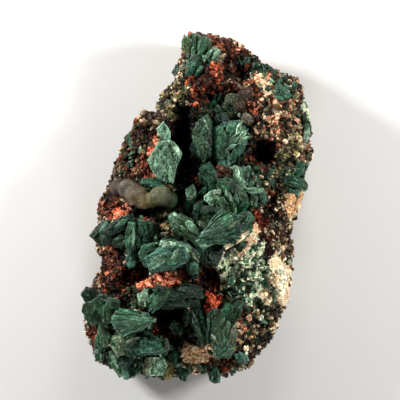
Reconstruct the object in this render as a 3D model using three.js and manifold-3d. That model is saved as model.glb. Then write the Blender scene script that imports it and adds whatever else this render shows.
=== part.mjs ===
// A heulandite specimen: green crystals and chalcedony on a lump of druse-covered rock.
// It lies on its flat broken back. Millimetres, +Z up, +Y towards the crown of the specimen.
import * as THREE from 'three';
import Module from 'manifold-3d';

const wasm = await Module();
wasm.setup();

// ---------------------------------------------------------------- driving dimensions
const PLAN_STEP = 0.4;            // mm per plan step; plan places are u (rightwards) and v (downwards)
const PLAN_ORIGIN = [195.8, 208.1];   // plan place of the middle of the specimen
const PLAN_HUB = [200, 210];      // the hub that the rings of the rock are drawn about
const RIM_HEIGHT = 23;            // height of the widest outline of the rock
const PLATEAU_RISE = 15;          // how far the face of the rock stands above that outline
const SHOULDER = 3.4;             // larger is a squarer shoulder between face and flank
const ROUGHNESS = 0.75;           // height of the random lumps of the rock
const SIDEWAYS_SHARE = 0.6;       // how far the lumps also move a point sideways, as a share
const FLANK_SHARE = 0.7;          // height of the lumps on the flank, as a share
const FOOT_LEVEL = 0.1;           // the flank has no lumps below this share of the rim height
const RELIEF_FADE = 6;            // larger brings the mounds and hollows closer to the rim
const ROUGHNESS_FADE = 5;         // larger brings the lumps closer to the rim
const CAST_HEIGHT = 200;          // height above the rock that the crystals are set down from
const WELD_STEPS = 1000;          // points that agree to one such step of a millimetre are one point
const SHAKE_WAVE = [127.1, 311.7, 43758.5453];   // wave that the repeatable shakes are read from
const SEAT_GAP = 0.3;             // clearance between two pieces that grew against each other
const SHARPEST = 0.5;             // least cosine of an edge that the clearance allows for
const CREASE_SHARE = 0.9;         // share of that clearance kept straight above sharp creases
const ROOT_REACH = 3.2;           // how far a crystal's root goes on below the face of the rock
const ROOT_TAPER = 0.75;          // size of the end of the root next to the crystal
const LUMP_DETAIL = 1;            // fineness of the chalcedony lumps
const ROOT_SIDES = 3;             // most sides of the end of a root
const FULL_TURN = 2 * Math.PI;

// The outline of the rock at its widest, seen from above: plan places, clockwise from the crown.
const OUTLINE = [
  [197, 30], [205, 32], [213, 39], [222, 37], [232, 38], [240, 45], [247, 51], [255, 56], [262, 62],
  [268, 65], [275, 70], [280, 75], [290, 73], [298, 77], [303, 86], [305, 95], [307, 105], [309, 115],
  [310, 125], [311, 140], [311, 158], [305, 170], [303, 180], [305, 188], [303, 196], [299, 205],
  [295, 215], [291, 223], [290, 235], [291, 245], [292, 256], [290, 272], [290, 290], [288, 300],
  [284, 308], [279, 318], [275, 330], [271, 341], [262, 347], [258, 355], [250, 362], [245, 369],
  [238, 373], [230, 373], [222, 376], [210, 375], [200, 371], [190, 376], [176, 374], [163, 379],
  [152, 376], [142, 374], [130, 374], [120, 370], [112, 368], [104, 364], [97, 360], [92, 352],
  [90, 342], [87, 336], [86, 328], [84, 320], [85, 309], [83, 302], [88, 294], [95, 287], [97, 278],
  [102, 270], [104, 258], [100, 250], [96, 243], [95, 236], [98, 225], [101, 212], [103, 200],
  [107, 192], [112, 178], [114, 168], [120, 158], [123, 148], [126, 138], [133, 130], [135, 121],
  [141, 114], [150, 112], [158, 117], [159, 103], [164, 93], [172, 85], [180, 80], [182, 68],
  [180, 58], [183, 45], [188, 34],
];

// Mounds and hollows of the face: u, v, half width, half length (plan steps), turn (degrees), rise (mm).
const RELIEF = [
  [205, 48, 26, 20, 0, 4], [208, 78, 20, 20, 0, 6], [240, 84, 18, 6, 0, 4], [275, 104, 34, 34, 0, 5],
  [290, 150, 16, 22, 0, 5], [180, 86, 11, 9, 0, 4], [170, 104, 12, 16, 0, 4], [147, 120, 14, 9, 0, 4],
  [147, 194, 38, 16, 0, 4], [118, 228, 26, 20, 0, 5], [168, 254, 36, 22, 0, 8], [214, 226, 38, 26, 0, 7],
  [250, 250, 28, 36, 0, 5], [279, 282, 12, 24, 0, 5], [112, 274, 14, 30, 0, 4], [165, 277, 18, 11, 0, 5],
  [168, 297, 40, 10, 0, 7], [100, 312, 24, 20, 0, 5], [132, 322, 26, 16, 0, 6], [132, 350, 38, 20, 0, 5],
  [221, 334, 20, 30, 0, 5], [197, 355, 18, 11, 0, 5], [158, 366, 20, 14, 0, 4], [213, 304, 10, 12, 0, 5],
  [184, 146, 13, 48, 4, -25], [183, 192, 12, 26, 0, -14], [222, 136, 36, 42, 0, -9],
  [238, 68, 17, 14, 0, -8], [222, 98, 28, 10, 0, -7], [263, 154, 16, 20, 0, -17],
  [292, 154, 6, 8, 0, -6], [272, 206, 13, 26, 0, -7], [144, 213, 14, 9, 0, -9],
  [149, 134, 10, 10, 0, -6], [209, 274, 12, 16, 0, -8], [138, 272, 13, 15, 0, -9],
  [171, 315, 19, 12, 0, -17], [162, 331, 11, 9, 0, -6], [184, 336, 15, 14, 0, -7],
  [150, 376, 8, 8, 0, -5], [205, 368, 10, 8, 0, -4],
];

// Rings of the rock: share of the way from hub to outline, and number of points, on the face.
const FACE_RINGS = [
  [1, 88], [0.965, 76], [0.92, 72], [0.86, 68], [0.79, 62], [0.72, 56], [0.65, 51], [0.58, 46],
  [0.51, 41], [0.44, 36], [0.37, 30], [0.29, 24], [0.2, 17], [0.1, 9],
];
// Rings of the flank below the outline: share of the outline, share of the rim height, points.
const FLANK_RINGS = [[0.995, 0.7, 64], [0.96, 0.38, 52], [0.9, 0.08, 44], [0.86, 0, 44]];
// Rings of the flat back.
const BACK_RINGS = [[0.45, 0, 12]];

// Outline of each crystal habit, from -1 to 1: [across, along], counter-clockwise seen from its face.
const HABIT_OUTLINES = {
  coffin: [[0, -1], [1, -0.8], [0.95, 0.4], [0.45, 1], [-0.5, 0.9], [-0.7, 0.4], [-1, -0.45],
    [-0.9, -0.95]],
  tablet: [[-0.6, -1], [0.65, -0.95], [1, 0.1], [0.7, 0.95], [-0.45, 1], [-1, 0.3]],
  rhomb: [[-0.4, -0.75], [0.35, -1], [0.95, -0.8], [0.95, -0.05], [0.05, 1], [-1, 0.15]],
  lath: [[-0.6, -1], [0.7, -0.86], [1, 0.1], [0.2, 1], [-1, 0.2]],
  kite: [[-0.3, -0.94], [0.5, -0.94], [1, 0.47], [0.65, 0.94], [-0.2, 0.82], [-1, 0.1], [-1, -0.35]],
  leaf: [[0.15, -1], [0.85, -0.45], [0.98, 0.1], [1, 0.65], [0.6, 1], [-0.25, 0.8], [-0.75, 0.4],
    [-1, 0.05], [-0.4, -0.5]],
  shield: [[0.12, -0.95], [0.47, -1], [0.65, -0.32], [1, 0.25], [0.76, 0.64], [0.29, 0.95],
    [-0.38, 0.85], [-1, 0], [-0.55, -0.7]],
  axe: [[-0.15, -1], [0.3, -0.7], [0.7, -0.35], [1, 0.3], [0.95, 0.65], [0.6, 1], [-0.35, 0.95],
    [-0.85, 0.75], [-1, -0.3], [-0.85, -0.65]],
  spade: [[-0.6, -1], [0.45, -1], [0.75, -0.6], [1, 0.35], [0.4, 1], [-0.3, 0.95], [-0.9, 0.65],
    [-1, 0.1]],
};
// Levels of a crystal from its face down: share of half thickness, size of the outline there.
const FACE_LEVELS = {
  coffin: [[1, 0.74], [0.3, 1]],
  tablet: [[1, 0.82], [-0.4, 1]],
  rhomb: [[1, 0.8], [-0.4, 1]],
  lath: [[1, 0.7], [-0.4, 1]],
  kite: [[1, 0.8], [-0.2, 1]],
  leaf: [[1, 0.78], [0, 1]],
  shield: [[1, 0.84], [0.2, 1], [-1, 0.92]],
  axe: [[1, 0.84], [0, 1]],
  spade: [[1, 0.82], [0, 1]],
};
// Blades of a grown-together habit: turn about the foot (degrees), share of length, of width, step down.
const BLADES = {
  fan: [[-24, 0.84, 0.5, 0.25], [0, 1, 0.56, 0], [25, 0.88, 0.5, 0.3]],
  sheaf: [[-16, 0.86, 0.56, 0.15], [0, 1, 0.56, 0], [17, 0.9, 0.56, 0.3]],
};

// Crystals of each piece: u, v, lift of the middle above the rock (mm), turn, pitch and roll (degrees),
// length and width (plan steps), thickness (mm), habit.
const CRYSTALS = {
  crown_crystals: [
    [192, 46, 1.5, -15, 18, -12, 30, 20, 4.5, 'fan'],
    [204, 50, 2, -14, 12, 24, 26, 13, 4, 'tablet'],
    [212.5, 55, 2.5, -34, 15, 10, 15, 14, 3, 'tablet'],
    [193, 65, 2.5, -24, 5, -12, 22, 11, 3.5, 'tablet'],
  ],
  neck_crystal: [[178, 71, 0.8, 10, -8, -20, 17, 12, 4, 'rhomb']],
  small_rhomb_crystal: [[163.7, 130.5, 4, 0, 4, 4, 18, 14, 4, 'rhomb']],
  large_tabular_crystal: [[165, 161, 4.5, 0, 6, 3, 44, 34, 6, 'shield']],
  ledge_crystal: [[154, 183, 2.5, 86, 6, 8, 24, 10, 3.5, 'tablet']],
  cavity_leaf_crystal: [
    [202, 138.5, 6.5, 0, 6, -12, 49, 20, 4.5, 'leaf'],
    [196, 149, 4.5, 14, 8, -20, 20, 12, 3.5, 'rhomb'],
  ],
  cavity_axe_crystal: [
    [229.5, 145, 7, 0, 4, -8, 48, 34, 5.5, 'axe'],
    [235, 137, 8.5, -52, 8, 10, 32, 24, 4, 'fan'],
    [222, 124, 4, 10, 14, -6, 22, 18, 4, 'tablet'],
  ],
  lone_cavity_crystal: [[191.2, 192, 3.5, -14, 6, -4, 17, 14, 4.5, 'rhomb']],
  cavity_floor_crystals: [
    [190, 207, 2, 8, 16, -8, 18, 12, 3.5, 'tablet'],
    [198, 208, 2, -36, 10, 5, 18, 11, 3.5, 'rhomb'],
  ],
  centre_spray_crystals: [
    [210, 177, 3, 28, 8, -10, 27, 16, 4.5, 'tablet'],
    [225, 174, 2.5, 60, 5, 5, 24, 15, 4, 'tablet'],
    [239.5, 179, 4.5, 17, 10, 14, 25, 10, 3.5, 'tablet'],
    [247.5, 176, 3.8, -12, 6, 8, 20, 17, 4, 'rhomb'],
    [231, 192, 4, 44, 4, 4, 32, 26, 5, 'tablet'],
    [213.5, 197, 5.5, 0, 10, -8, 17, 18, 4.5, 'kite'],
    [223, 206, 4, 22, 16, -8, 20, 12, 3.5, 'tablet'],
    [232, 205, 4, 14, 24, -34, 22, 9, 2.5, 'lath'],
    [241, 208, 3.5, -40, 18, 20, 20, 10, 3, 'tablet'],
    [253, 190.5, 4.2, 86, 4, 6, 24, 7, 3, 'lath'],
    [253, 199.5, 4, 2, 8, -14, 18, 7, 3, 'lath'],
    [261.5, 197, 3, 36, 5, 16, 15, 10, 3, 'tablet'],
  ],
  centre_plate_crystals: [
    [212, 213, 3, 72, 8, 8, 22, 13, 4, 'tablet'],
    [187, 229, 4, 52, 6, -6, 32, 20, 5, 'tablet'],
    [178, 224, 5, 40, 10, -14, 24, 13, 3.5, 'tablet'],
    [222, 228, 5, -62, 5, 6, 48, 26, 5.5, 'fan'],
    [240, 221, 4, -56, 6, -8, 26, 14, 4, 'tablet'],
    [235, 231, 2.5, -50, -8, 26, 32, 11, 4, 'tablet'],
    [209, 237, 4, -50, 4, -10, 26, 18, 4.5, 'tablet'],
    [211, 251, 2.5, -10, -8, -6, 28, 24, 4.5, 'tablet'],
    [199, 241, 4, 20, 10, -26, 24, 11, 3.5, 'tablet'],
  ],
  saddle_crystals: [
    [149, 255, 4.5, 12, 8, -12, 22, 19, 5, 'tablet'],
    [166, 258, 5.5, -72, 6, 6, 48, 26, 6, 'leaf'],
    [176, 246, 6.5, 74, 14, 22, 32, 11, 4, 'tablet'],
    [188, 251, 5.5, 56, 8, 22, 26, 12, 3.5, 'tablet'],
    [192, 262, 4.5, 8, 4, 16, 24, 12, 4, 'tablet'],
    [194.5, 269, 3.5, -4, 0, 10, 20, 10, 3.5, 'lath'],
  ],
  saddle_side_crystal: [[131.5, 259, 2, -16, 8, -14, 18, 12, 4, 'rhomb']],
  left_shoulder_crystals: [
    [102, 231, 1.5, -45, 10, -25, 26, 15, 4, 'tablet'],
    [118, 226, 3, -54, 12, -8, 32, 13, 4, 'tablet'],
    [112, 235, 2.5, -48, 10, 10, 26, 12, 3.5, 'tablet'],
    [121, 240, 3, -82, 5, 8, 18, 13, 4, 'rhomb'],
    [131.5, 237, 4.5, -2, 12, -12, 32, 11, 4.5, 'tablet'],
    [141, 234, 4, -6, 12, 14, 26, 13, 4.5, 'tablet'],
    [150.5, 234, 2.5, -10, 8, 30, 25, 14, 4, 'tablet'],
  ],
  arch_crystals: [
    [144.5, 297, 5, -18, 8, -6, 19, 15, 4.5, 'rhomb'],
    [157, 299.5, 4.5, -38, 6, -6, 28, 16, 4.5, 'leaf'],
    [180, 301, 3.5, 86, 0, -14, 42, 12, 4.5, 'tablet'],
    [170, 294, 3.5, 80, 0, -8, 32, 11, 4, 'tablet'],
    [190, 291, 4, 84, 10, -12, 25, 13, 4, 'tablet'],
  ],
  left_fan_crystals: [
    [98, 312, 3.5, 30, 8, -8, 31, 29, 5.5, 'fan'],
    [111, 311, 3.5, -16, 10, 10, 24, 19, 5, 'tablet'],
    [92, 298, 2.2, 60, 4, -8, 24, 15, 4, 'tablet'],
  ],
  sheaf_crystal: [[133, 321, 6, -82, 4, 6, 44, 29, 6.5, 'sheaf']],
  lower_left_crystals: [
    [119, 345.5, 5, 16, 10, -5, 20, 16, 5, 'tablet'],
    [129, 347, 4, 10, 10, 14, 19, 9, 4, 'tablet'],
    [136, 349, 3.5, 6, 8, 18, 18, 9, 3.5, 'tablet'],
    [151, 346, 4.5, -88, 4, -6, 36, 18, 5.5, 'coffin'],
    [116, 364, 3, 28, -4, -22, 30, 12, 3.5, 'tablet'],
    [127, 369, 2.5, 14, -8, 8, 22, 15, 5, 'tablet'],
    [127, 359, 3.5, -38, 6, 8, 22, 13, 4, 'tablet'],
  ],
  left_edge_blades: [
    [104, 334, 2.5, 5, 12, -24, 28, 11, 3.5, 'tablet'],
    [99, 346, 2.5, -4, 0, -24, 34, 10, 3.5, 'lath'],
  ],
  bottom_block_crystal: [
    [154.5, 366.5, 3.5, 0, 4, 6, 19, 25, 5.5, 'tablet'],
    [168.5, 369.5, 2.8, -10, -6, 14, 22, 10, 4, 'tablet'],
    [144, 368, 2, 0, -5, -16, 16, 8, 3, 'lath'],
  ],
  bottom_tip_left: [[182, 376, 1.5, 12, -8, -8, 16, 11, 3.5, 'rhomb']],
  bottom_tip_right: [[215, 376.5, 1.5, -10, -8, 5, 17, 13, 4, 'rhomb']],
  lower_corner_crystal: [[241.5, 359.5, 1.5, 30, -5, 15, 15, 13, 4, 'rhomb']],
  lower_blade_crystals: [
    [223.5, 339, 5, 0, 2, 6, 37, 27, 5.5, 'spade'],
    [216, 320, 5, -6, 8, -12, 24, 19, 4.5, 'tablet'],
    [201, 326, 4.2, 21, 4, -16, 40, 16, 4.5, 'tablet'],
    [226, 314, 3.5, -14, 8, 12, 22, 12, 4, 'tablet'],
    [236, 310.5, 3.5, -20, 6, 18, 23, 10, 4, 'tablet'],
  ],
  arch_foot_crystal: [[187, 316, 2, -8, 14, -20, 22, 8, 3, 'lath']],
  arch_floor_crystal: [[176, 327, 1.5, 20, 5, 5, 18, 14, 4, 'rhomb']],
  right_edge_crystals: [
    [299, 168, 1.5, -50, 0, 18, 18, 14, 4.5, 'rhomb'],
    [293, 181, 1.5, 70, 0, 16, 24, 15, 4.5, 'tablet'],
  ],
  right_rim_blade: [[306, 134, 0.5, -12, 0, 28, 19, 8, 3, 'lath']],
  upper_field_crystal: [[281, 92, 1.5, 30, 0, 8, 20, 15, 4, 'rhomb']],
  upper_edge_crystal: [[268, 69, 0.8, 50, 5, 8, 15, 11, 3.5, 'rhomb']],
};

// Rounded chalcedony lumps: u, v, lift above the rock, half width, half length (plan steps), half
// height (mm), turn (degrees).
const CHALCEDONY = {
  chalcedony_left: [
    [135, 194, 2, 17, 9.5, 5.5, -34], [121, 188.5, 2.2, 11, 9.5, 5.5, 0], [160, 198, 2, 16, 11, 5.5, -6],
  ],
  chalcedony_knobs: [
    [241, 108, 1.5, 8, 7, 3.4, 0], [247.5, 119, 1, 7, 8.5, 3.4, 0], [246.5, 95, 0.8, 9.5, 8, 3.2, 0],
    [232, 100, 1, 9, 7.5, 3.2, 0], [227.5, 111, 1, 9, 10, 3.4, 25],
  ],
};

const COLOURS = {
  matrix: [0x8f7a5c, 0.85], chalcedony: [0x8d8378, 0.35], crystal: [0x5f9a84, 0.4],
};

// ---------------------------------------------------------------- small helpers
const planX = (u) => (u - PLAN_ORIGIN[0]) * PLAN_STEP;
const planY = (v) => (PLAN_ORIGIN[1] - v) * PLAN_STEP;
const radians = THREE.MathUtils.degToRad;
const DOWN = new THREE.Vector3(0, 0, -1);

// A repeatable number from -1 to 1 for each whole number.
function jitter(index) {
  const [step, start, height] = SHAKE_WAVE;
  const wave = Math.sin(index * step + start) * height;
  return 2 * (wave - Math.floor(wave)) - 1;
}

function solidFrom(points, faces) {
  const mesh = new wasm.Mesh({
    numProp: 3,
    vertProperties: new Float32Array(points.flat()),
    triVerts: new Uint32Array(faces.flat()),
  });
  return new wasm.Manifold(mesh);
}

// Triangles between two closed rings of points that run the same way round, upper ring first.
function stitch(upper, lower) {
  const faces = [];
  let i = 0;
  let j = 0;
  while (i < upper.count || j < lower.count) {
    const a = upper.start + (i % upper.count);
    const b = lower.start + (j % lower.count);
    if (j === lower.count || (i < upper.count && (i + 1) / upper.count <= (j + 1) / lower.count)) {
      faces.push([a, b, upper.start + ((i + 1) % upper.count)]);
      i += 1;
    } else {
      faces.push([a, b, lower.start + ((j + 1) % lower.count)]);
      j += 1;
    }
  }
  return faces;
}

function fanFaces(ring, facingUp) {
  const faces = [];
  for (let k = 1; k < ring.count - 1; k += 1) {
    const edge = [ring.start + k, ring.start + k + 1];
    faces.push(facingUp ? [ring.start, ...edge] : [ring.start, ...edge.reverse()]);
  }
  return faces;
}

// ---------------------------------------------------------------- the rock
// Distance from the hub to the outline in one direction, in mm.
function outlineReach(angle) {
  const [dx, dy] = [Math.cos(angle), Math.sin(angle)];
  const [hx, hy] = [planX(PLAN_HUB[0]), planY(PLAN_HUB[1])];
  let reach = 0;
  OUTLINE.forEach(([u, v], k) => {
    const [nextU, nextV] = OUTLINE[(k + 1) % OUTLINE.length];
    const [ax, ay] = [planX(u) - hx, planY(v) - hy];
    const [ex, ey] = [planX(nextU) - planX(u), planY(nextV) - planY(v)];
    const cross = dx * ey - dy * ex;
    const along = (ax * ey - ay * ex) / cross;
    const share = (ax * dy - ay * dx) / cross;
    if (along > 0 && share >= 0 && share <= 1) reach = Math.max(reach, along);
  });
  return reach;
}

// Height of the mounds and hollows at a place of the face.
function reliefAt(x, y) {
  let height = 0;
  for (const [u, v, halfU, halfV, turn, rise] of RELIEF) {
    const [dx, dy] = [x - planX(u), y - planY(v)];
    const [c, s] = [Math.cos(radians(turn)), Math.sin(radians(turn))];
    const across = (c * dx + s * dy) / (halfU * PLAN_STEP);
    const along = (c * dy - s * dx) / (halfV * PLAN_STEP);
    const fall = 1 - across * across - along * along;
    if (fall > 0) height += rise * fall * Math.sqrt(fall);
  }
  return height;
}

function faceHeight(x, y, share) {
  const dome = PLATEAU_RISE * (1 - share ** SHOULDER);
  return RIM_HEIGHT + dome + reliefAt(x, y) * Math.min(1, (1 - share) * RELIEF_FADE);
}

// Points and faces of the rock: rings from the hub out over the face, down the flank, in over the back.
function rockMesh() {
  const points = [[planX(PLAN_HUB[0]), planY(PLAN_HUB[1]), 0]];
  points[0][2] = faceHeight(points[0][0], points[0][1], 0);
  const rings = [];
  const addRing = (share, count, heightAt, shake) => {
    const ring = { start: points.length, count };
    for (let k = 0; k < count; k += 1) {
      const angle = FULL_TURN * (k / count);
      const reach = outlineReach(angle) * share;
      const spread = shake * jitter(points.length) * SIDEWAYS_SHARE;
      const x = points[0][0] + Math.cos(angle) * (reach + spread);
      const y = points[0][1] + Math.sin(angle) * (reach + spread);
      points.push([x, y, heightAt(x, y) + shake * jitter(points.length + 0.5)]);
    }
    rings.push(ring);
  };
  for (const [share, count] of [...FACE_RINGS].reverse()) {
    const shake = ROUGHNESS * Math.min(1, (1 - share) * ROUGHNESS_FADE);
    addRing(share, count, (x, y) => faceHeight(x, y, share), shake);
  }
  for (const [share, level, count] of FLANK_RINGS) {
    addRing(share, count, () => RIM_HEIGHT * level, level > FOOT_LEVEL ? ROUGHNESS * FLANK_SHARE : 0);
  }
  for (const [share, level, count] of BACK_RINGS) addRing(share, count, () => level, 0);
  const faces = [];
  for (let k = 0; k < rings[0].count; k += 1) {
    faces.push([0, rings[0].start + k, rings[0].start + ((k + 1) % rings[0].count)]);
  }
  for (let k = 0; k + 1 < rings.length; k += 1) faces.push(...stitch(rings[k], rings[k + 1]));
  faces.push(...fanFaces(rings.at(-1), false));
  return { points, faces };
}

// The same rock with every face moved out by a distance, or a little more at its sharp edges.
function grownRock({ points, faces }, distance) {
  const corners = points.map((point) => new THREE.Vector3(...point));
  const around = points.map(() => []);
  for (const [a, b, c] of faces) {
    const edge = corners[b].clone().sub(corners[a]);
    const normal = edge.cross(corners[c].clone().sub(corners[a])).normalize();
    for (const corner of [a, b, c]) around[corner].push(normal);
  }
  const moved = corners.map((corner, k) => {
    const mean = around[k].reduce((sum, normal) => sum.add(normal), new THREE.Vector3()).normalize();
    const flattest = Math.min(...around[k].map((normal) => normal.dot(mean)));
    return corner.addScaledVector(mean, distance / Math.max(flattest, SHARPEST));
  });
  return { points: moved.map((corner) => corner.toArray()), faces };
}

// ---------------------------------------------------------------- crystals
// One blade: its outline at falling levels, then a root that narrows towards the rock.
function bladeSolid(place, blade) {
  const { length, width, thickness, habit, foot, turn, drop, reach } = blade;
  const outline = HABIT_OUTLINES[habit];
  const levels = FACE_LEVELS[habit].map(([share, size]) => [(share * thickness) / 2, size, outline]);
  const rootOutline = outline.filter((_, k) => k % Math.ceil(outline.length / ROOT_SIDES) === 0);
  levels.push([-thickness / 2 - reach, ROOT_TAPER, rootOutline]);
  const points = [];
  const rings = [];
  const spin = new THREE.Matrix4().makeRotationZ(radians(turn));
  for (const [height, size, corners] of levels) {
    rings.push({ start: points.length, count: corners.length });
    for (const [across, along] of corners) {
      const corner = new THREE.Vector3(
        (across * size * width) / 2,
        (along * size * length) / 2 + foot,
        height - drop,
      );
      corner.applyMatrix4(spin);
      corner.y -= foot;
      points.push(corner.applyMatrix4(place).toArray());
    }
  }
  const faces = fanFaces(rings[0], true);
  for (let k = 0; k + 1 < rings.length; k += 1) faces.push(...stitch(rings[k], rings[k + 1]));
  faces.push(...fanFaces(rings.at(-1), false));
  return solidFrom(points, faces);
}

// One crystal, or one sheaf of blades, standing on the rock. Swell makes it larger on every side.
function crystalSolid(row, rockHeight, swell) {
  const [u, v, lift, turn, pitch, roll, longSteps, wideSteps, thickness, habit] = row;
  const [x, y] = [planX(u), planY(v)];
  const place = new THREE.Matrix4().makeTranslation(x, y, rockHeight(x, y) + lift);
  place.multiply(new THREE.Matrix4().makeRotationZ(radians(turn)));
  place.multiply(new THREE.Matrix4().makeRotationX(radians(pitch)));
  place.multiply(new THREE.Matrix4().makeRotationY(radians(roll)));
  const length = longSteps * PLAN_STEP;
  const width = wideSteps * PLAN_STEP;
  const blades = BLADES[habit] ?? [[0, 1, 1, 0]];
  const parts = blades.map(([bladeTurn, longShare, wideShare, step]) => bladeSolid(place, {
    length: length * longShare + 2 * swell,
    width: width * wideShare + 2 * swell,
    thickness: thickness + 2 * swell,
    habit: BLADES[habit] ? 'lath' : habit,
    foot: BLADES[habit] ? (length * longShare) / 2 : 0,
    turn: bladeTurn,
    drop: step * thickness,
    reach: lift + ROOT_REACH,
  }));
  return parts.reduce((whole, part) => whole.add(part));
}

function lumpSolid(row, rockHeight, swell) {
  const [u, v, lift, halfU, halfV, halfHeight, turn] = row;
  const geometry = new THREE.IcosahedronGeometry(1, LUMP_DETAIL);
  const [x, y] = [planX(u), planY(v)];
  geometry.scale(halfU * PLAN_STEP + swell, halfV * PLAN_STEP + swell, halfHeight + swell);
  geometry.rotateZ(radians(turn));
  geometry.translate(x, y, rockHeight(x, y) + lift);
  return solidFrom(...weld(geometry));
}

// Points and faces of a geometry, with the points that lie together made one.
function weld(geometry) {
  const position = geometry.getAttribute('position');
  const seen = new Map();
  const points = [];
  const corners = [];
  for (let k = 0; k < position.count; k += 1) {
    const point = [position.getX(k), position.getY(k), position.getZ(k)];
    const key = point.map((value) => Math.round(value * WELD_STEPS)).join();
    if (!seen.has(key)) {
      seen.set(key, points.length);
      points.push(point);
    }
    corners.push(seen.get(key));
  }
  const faces = [];
  for (let k = 0; k < corners.length; k += 3) faces.push(corners.slice(k, k + 3));
  return [points, faces];
}

// ---------------------------------------------------------------- the specimen
function toGeometry({ vertProperties, triVerts }) {
  const geometry = new THREE.BufferGeometry();
  geometry.setAttribute('position', new THREE.BufferAttribute(vertProperties, 3));
  geometry.setIndex(new THREE.BufferAttribute(triVerts, 1));
  return geometry;
}

// The largest connected body of a solid: what the cut leaves loose under a blade is dropped.
function largestBody({ vertProperties, triVerts }) {
  const parent = Array.from({ length: vertProperties.length / 3 }, (_, k) => k);
  const root = (k) => {
    let top = k;
    while (parent[top] !== top) top = parent[top];
    parent[k] = top;
    return top;
  };
  for (let k = 0; k < triVerts.length; k += 3) {
    parent[root(triVerts[k])] = root(triVerts[k + 1]);
    parent[root(triVerts[k + 1])] = root(triVerts[k + 2]);
  }
  const counts = new Map();
  for (const corner of triVerts) counts.set(root(corner), (counts.get(root(corner)) ?? 0) + 1);
  const largest = [...counts.keys()].reduce((a, b) => (counts.get(a) >= counts.get(b) ? a : b));
  const kept = triVerts.filter((corner) => root(corner) === largest);
  return { vertProperties, triVerts: kept };
}

function addPiece(group, name, geometry, finish) {
  const [colour, roughness] = COLOURS[finish];
  const material = new THREE.MeshStandardMaterial({ color: colour, roughness, metalness: 0 });
  const mesh = new THREE.Mesh(geometry, material);
  mesh.name = name;
  group.add(mesh);
  return mesh;
}

function buildSpecimen() {
  const group = new THREE.Group();
  const rock = rockMesh();
  const rockSolid = solidFrom(rock.points, rock.faces);
  const rockPiece = addPiece(group, 'matrix', toGeometry(rockSolid.getMesh()), 'matrix');
  const seat = grownRock(rock, SEAT_GAP);
  const raised = rock.points.map(([x, y, z]) => [x, y, z + SEAT_GAP * CREASE_SHARE]);
  const seatSolid = solidFrom(seat.points, seat.faces).add(solidFrom(raised, rock.faces));
  const caster = new THREE.Raycaster();
  const rockHeight = (x, y) => {
    caster.set(new THREE.Vector3(x, y, CAST_HEIGHT), DOWN);
    return caster.intersectObject(rockPiece)[0]?.point.z ?? RIM_HEIGHT;
  };
  const pieces = [
    ...Object.entries(CHALCEDONY).map(([name, rows]) => [name, rows, lumpSolid, 'chalcedony']),
    ...Object.entries(CRYSTALS).map(([name, rows]) => [name, rows, crystalSolid, 'crystal']),
  ];
  const taken = [];
  for (const [name, rows, build, finish] of pieces) {
    const join = (swell) => rows.map((row) => build(row, rockHeight, swell)).reduce((a, b) => a.add(b));
    let solid = join(0).subtract(seatSolid);
    const box = new THREE.Box3().setFromBufferAttribute(toGeometry(solid.getMesh()).getAttribute('position'));
    for (const other of taken) {
      if (other.box.intersectsBox(box)) solid = solid.subtract(other.grown);
    }
    const body = largestBody(solid.getMesh());
    addPiece(group, name, toGeometry(body), finish);
    taken.push({ grown: join(SEAT_GAP), box: box.expandByScalar(SEAT_GAP) });
  }
  return group;
}

const group = buildSpecimen();
export default group;
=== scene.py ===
"""A hand specimen of green heulandite: rock, druse, chalcedony and crystals built from thin plates."""
import logging
import math
from dataclasses import dataclass, field, replace
from enum import Enum
from itertools import combinations
from typing import Iterable, Sequence

import bmesh
import bpy
import numpy as np
from mathutils import Matrix, Vector, noise
from mathutils.bvhtree import BVHTree


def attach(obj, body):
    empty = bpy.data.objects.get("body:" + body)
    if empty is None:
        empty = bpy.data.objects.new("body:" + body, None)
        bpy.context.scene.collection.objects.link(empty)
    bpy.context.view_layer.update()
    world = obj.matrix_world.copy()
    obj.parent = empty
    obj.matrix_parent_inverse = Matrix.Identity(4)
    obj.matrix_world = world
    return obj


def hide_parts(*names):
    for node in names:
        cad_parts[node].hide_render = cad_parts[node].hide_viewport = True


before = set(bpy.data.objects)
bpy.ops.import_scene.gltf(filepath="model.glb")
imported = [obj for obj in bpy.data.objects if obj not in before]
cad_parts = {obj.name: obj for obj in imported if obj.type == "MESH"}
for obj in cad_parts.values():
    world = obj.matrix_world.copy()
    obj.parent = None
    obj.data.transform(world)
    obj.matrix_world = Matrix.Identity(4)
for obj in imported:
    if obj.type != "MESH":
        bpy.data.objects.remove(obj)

LOG = logging.getLogger("specimen")
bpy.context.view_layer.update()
MM = 0.001
RIM_HEIGHT = 23 * MM

Colour = tuple[float, float, float]
Array, Generator = np.ndarray, np.random.Generator
Object, Mesh, Material = bpy.types.Object, bpy.types.Mesh, bpy.types.Material


# -------- the plan of the specimen
@dataclass(frozen=True)
class Plan:
    """The working plan: places are u (rightwards) and v (downwards), in steps.

    Attributes:
        step: Length of one plan step in metres.
        middle: Plan place of the middle of the specimen.
    """

    step: float = 0.4 * MM
    middle: tuple[float, float] = (195.8, 208.1)

    def place(self, u: float, v: float) -> tuple[float, float]:
        """Return the place in metres of a plan place."""
        return (u - self.middle[0]) * self.step, (self.middle[1] - v) * self.step

    def steps(self, points: Array) -> tuple[Array, Array]:
        """Turn points in metres into plan places.

        Args:
            points: Array of points, one row each, in metres.

        Returns:
            The u values and the v values.
        """
        u = points[:, 0] / self.step + self.middle[0]
        v = self.middle[1] - points[:, 1] / self.step
        return u, v


PLAN = Plan()


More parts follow.
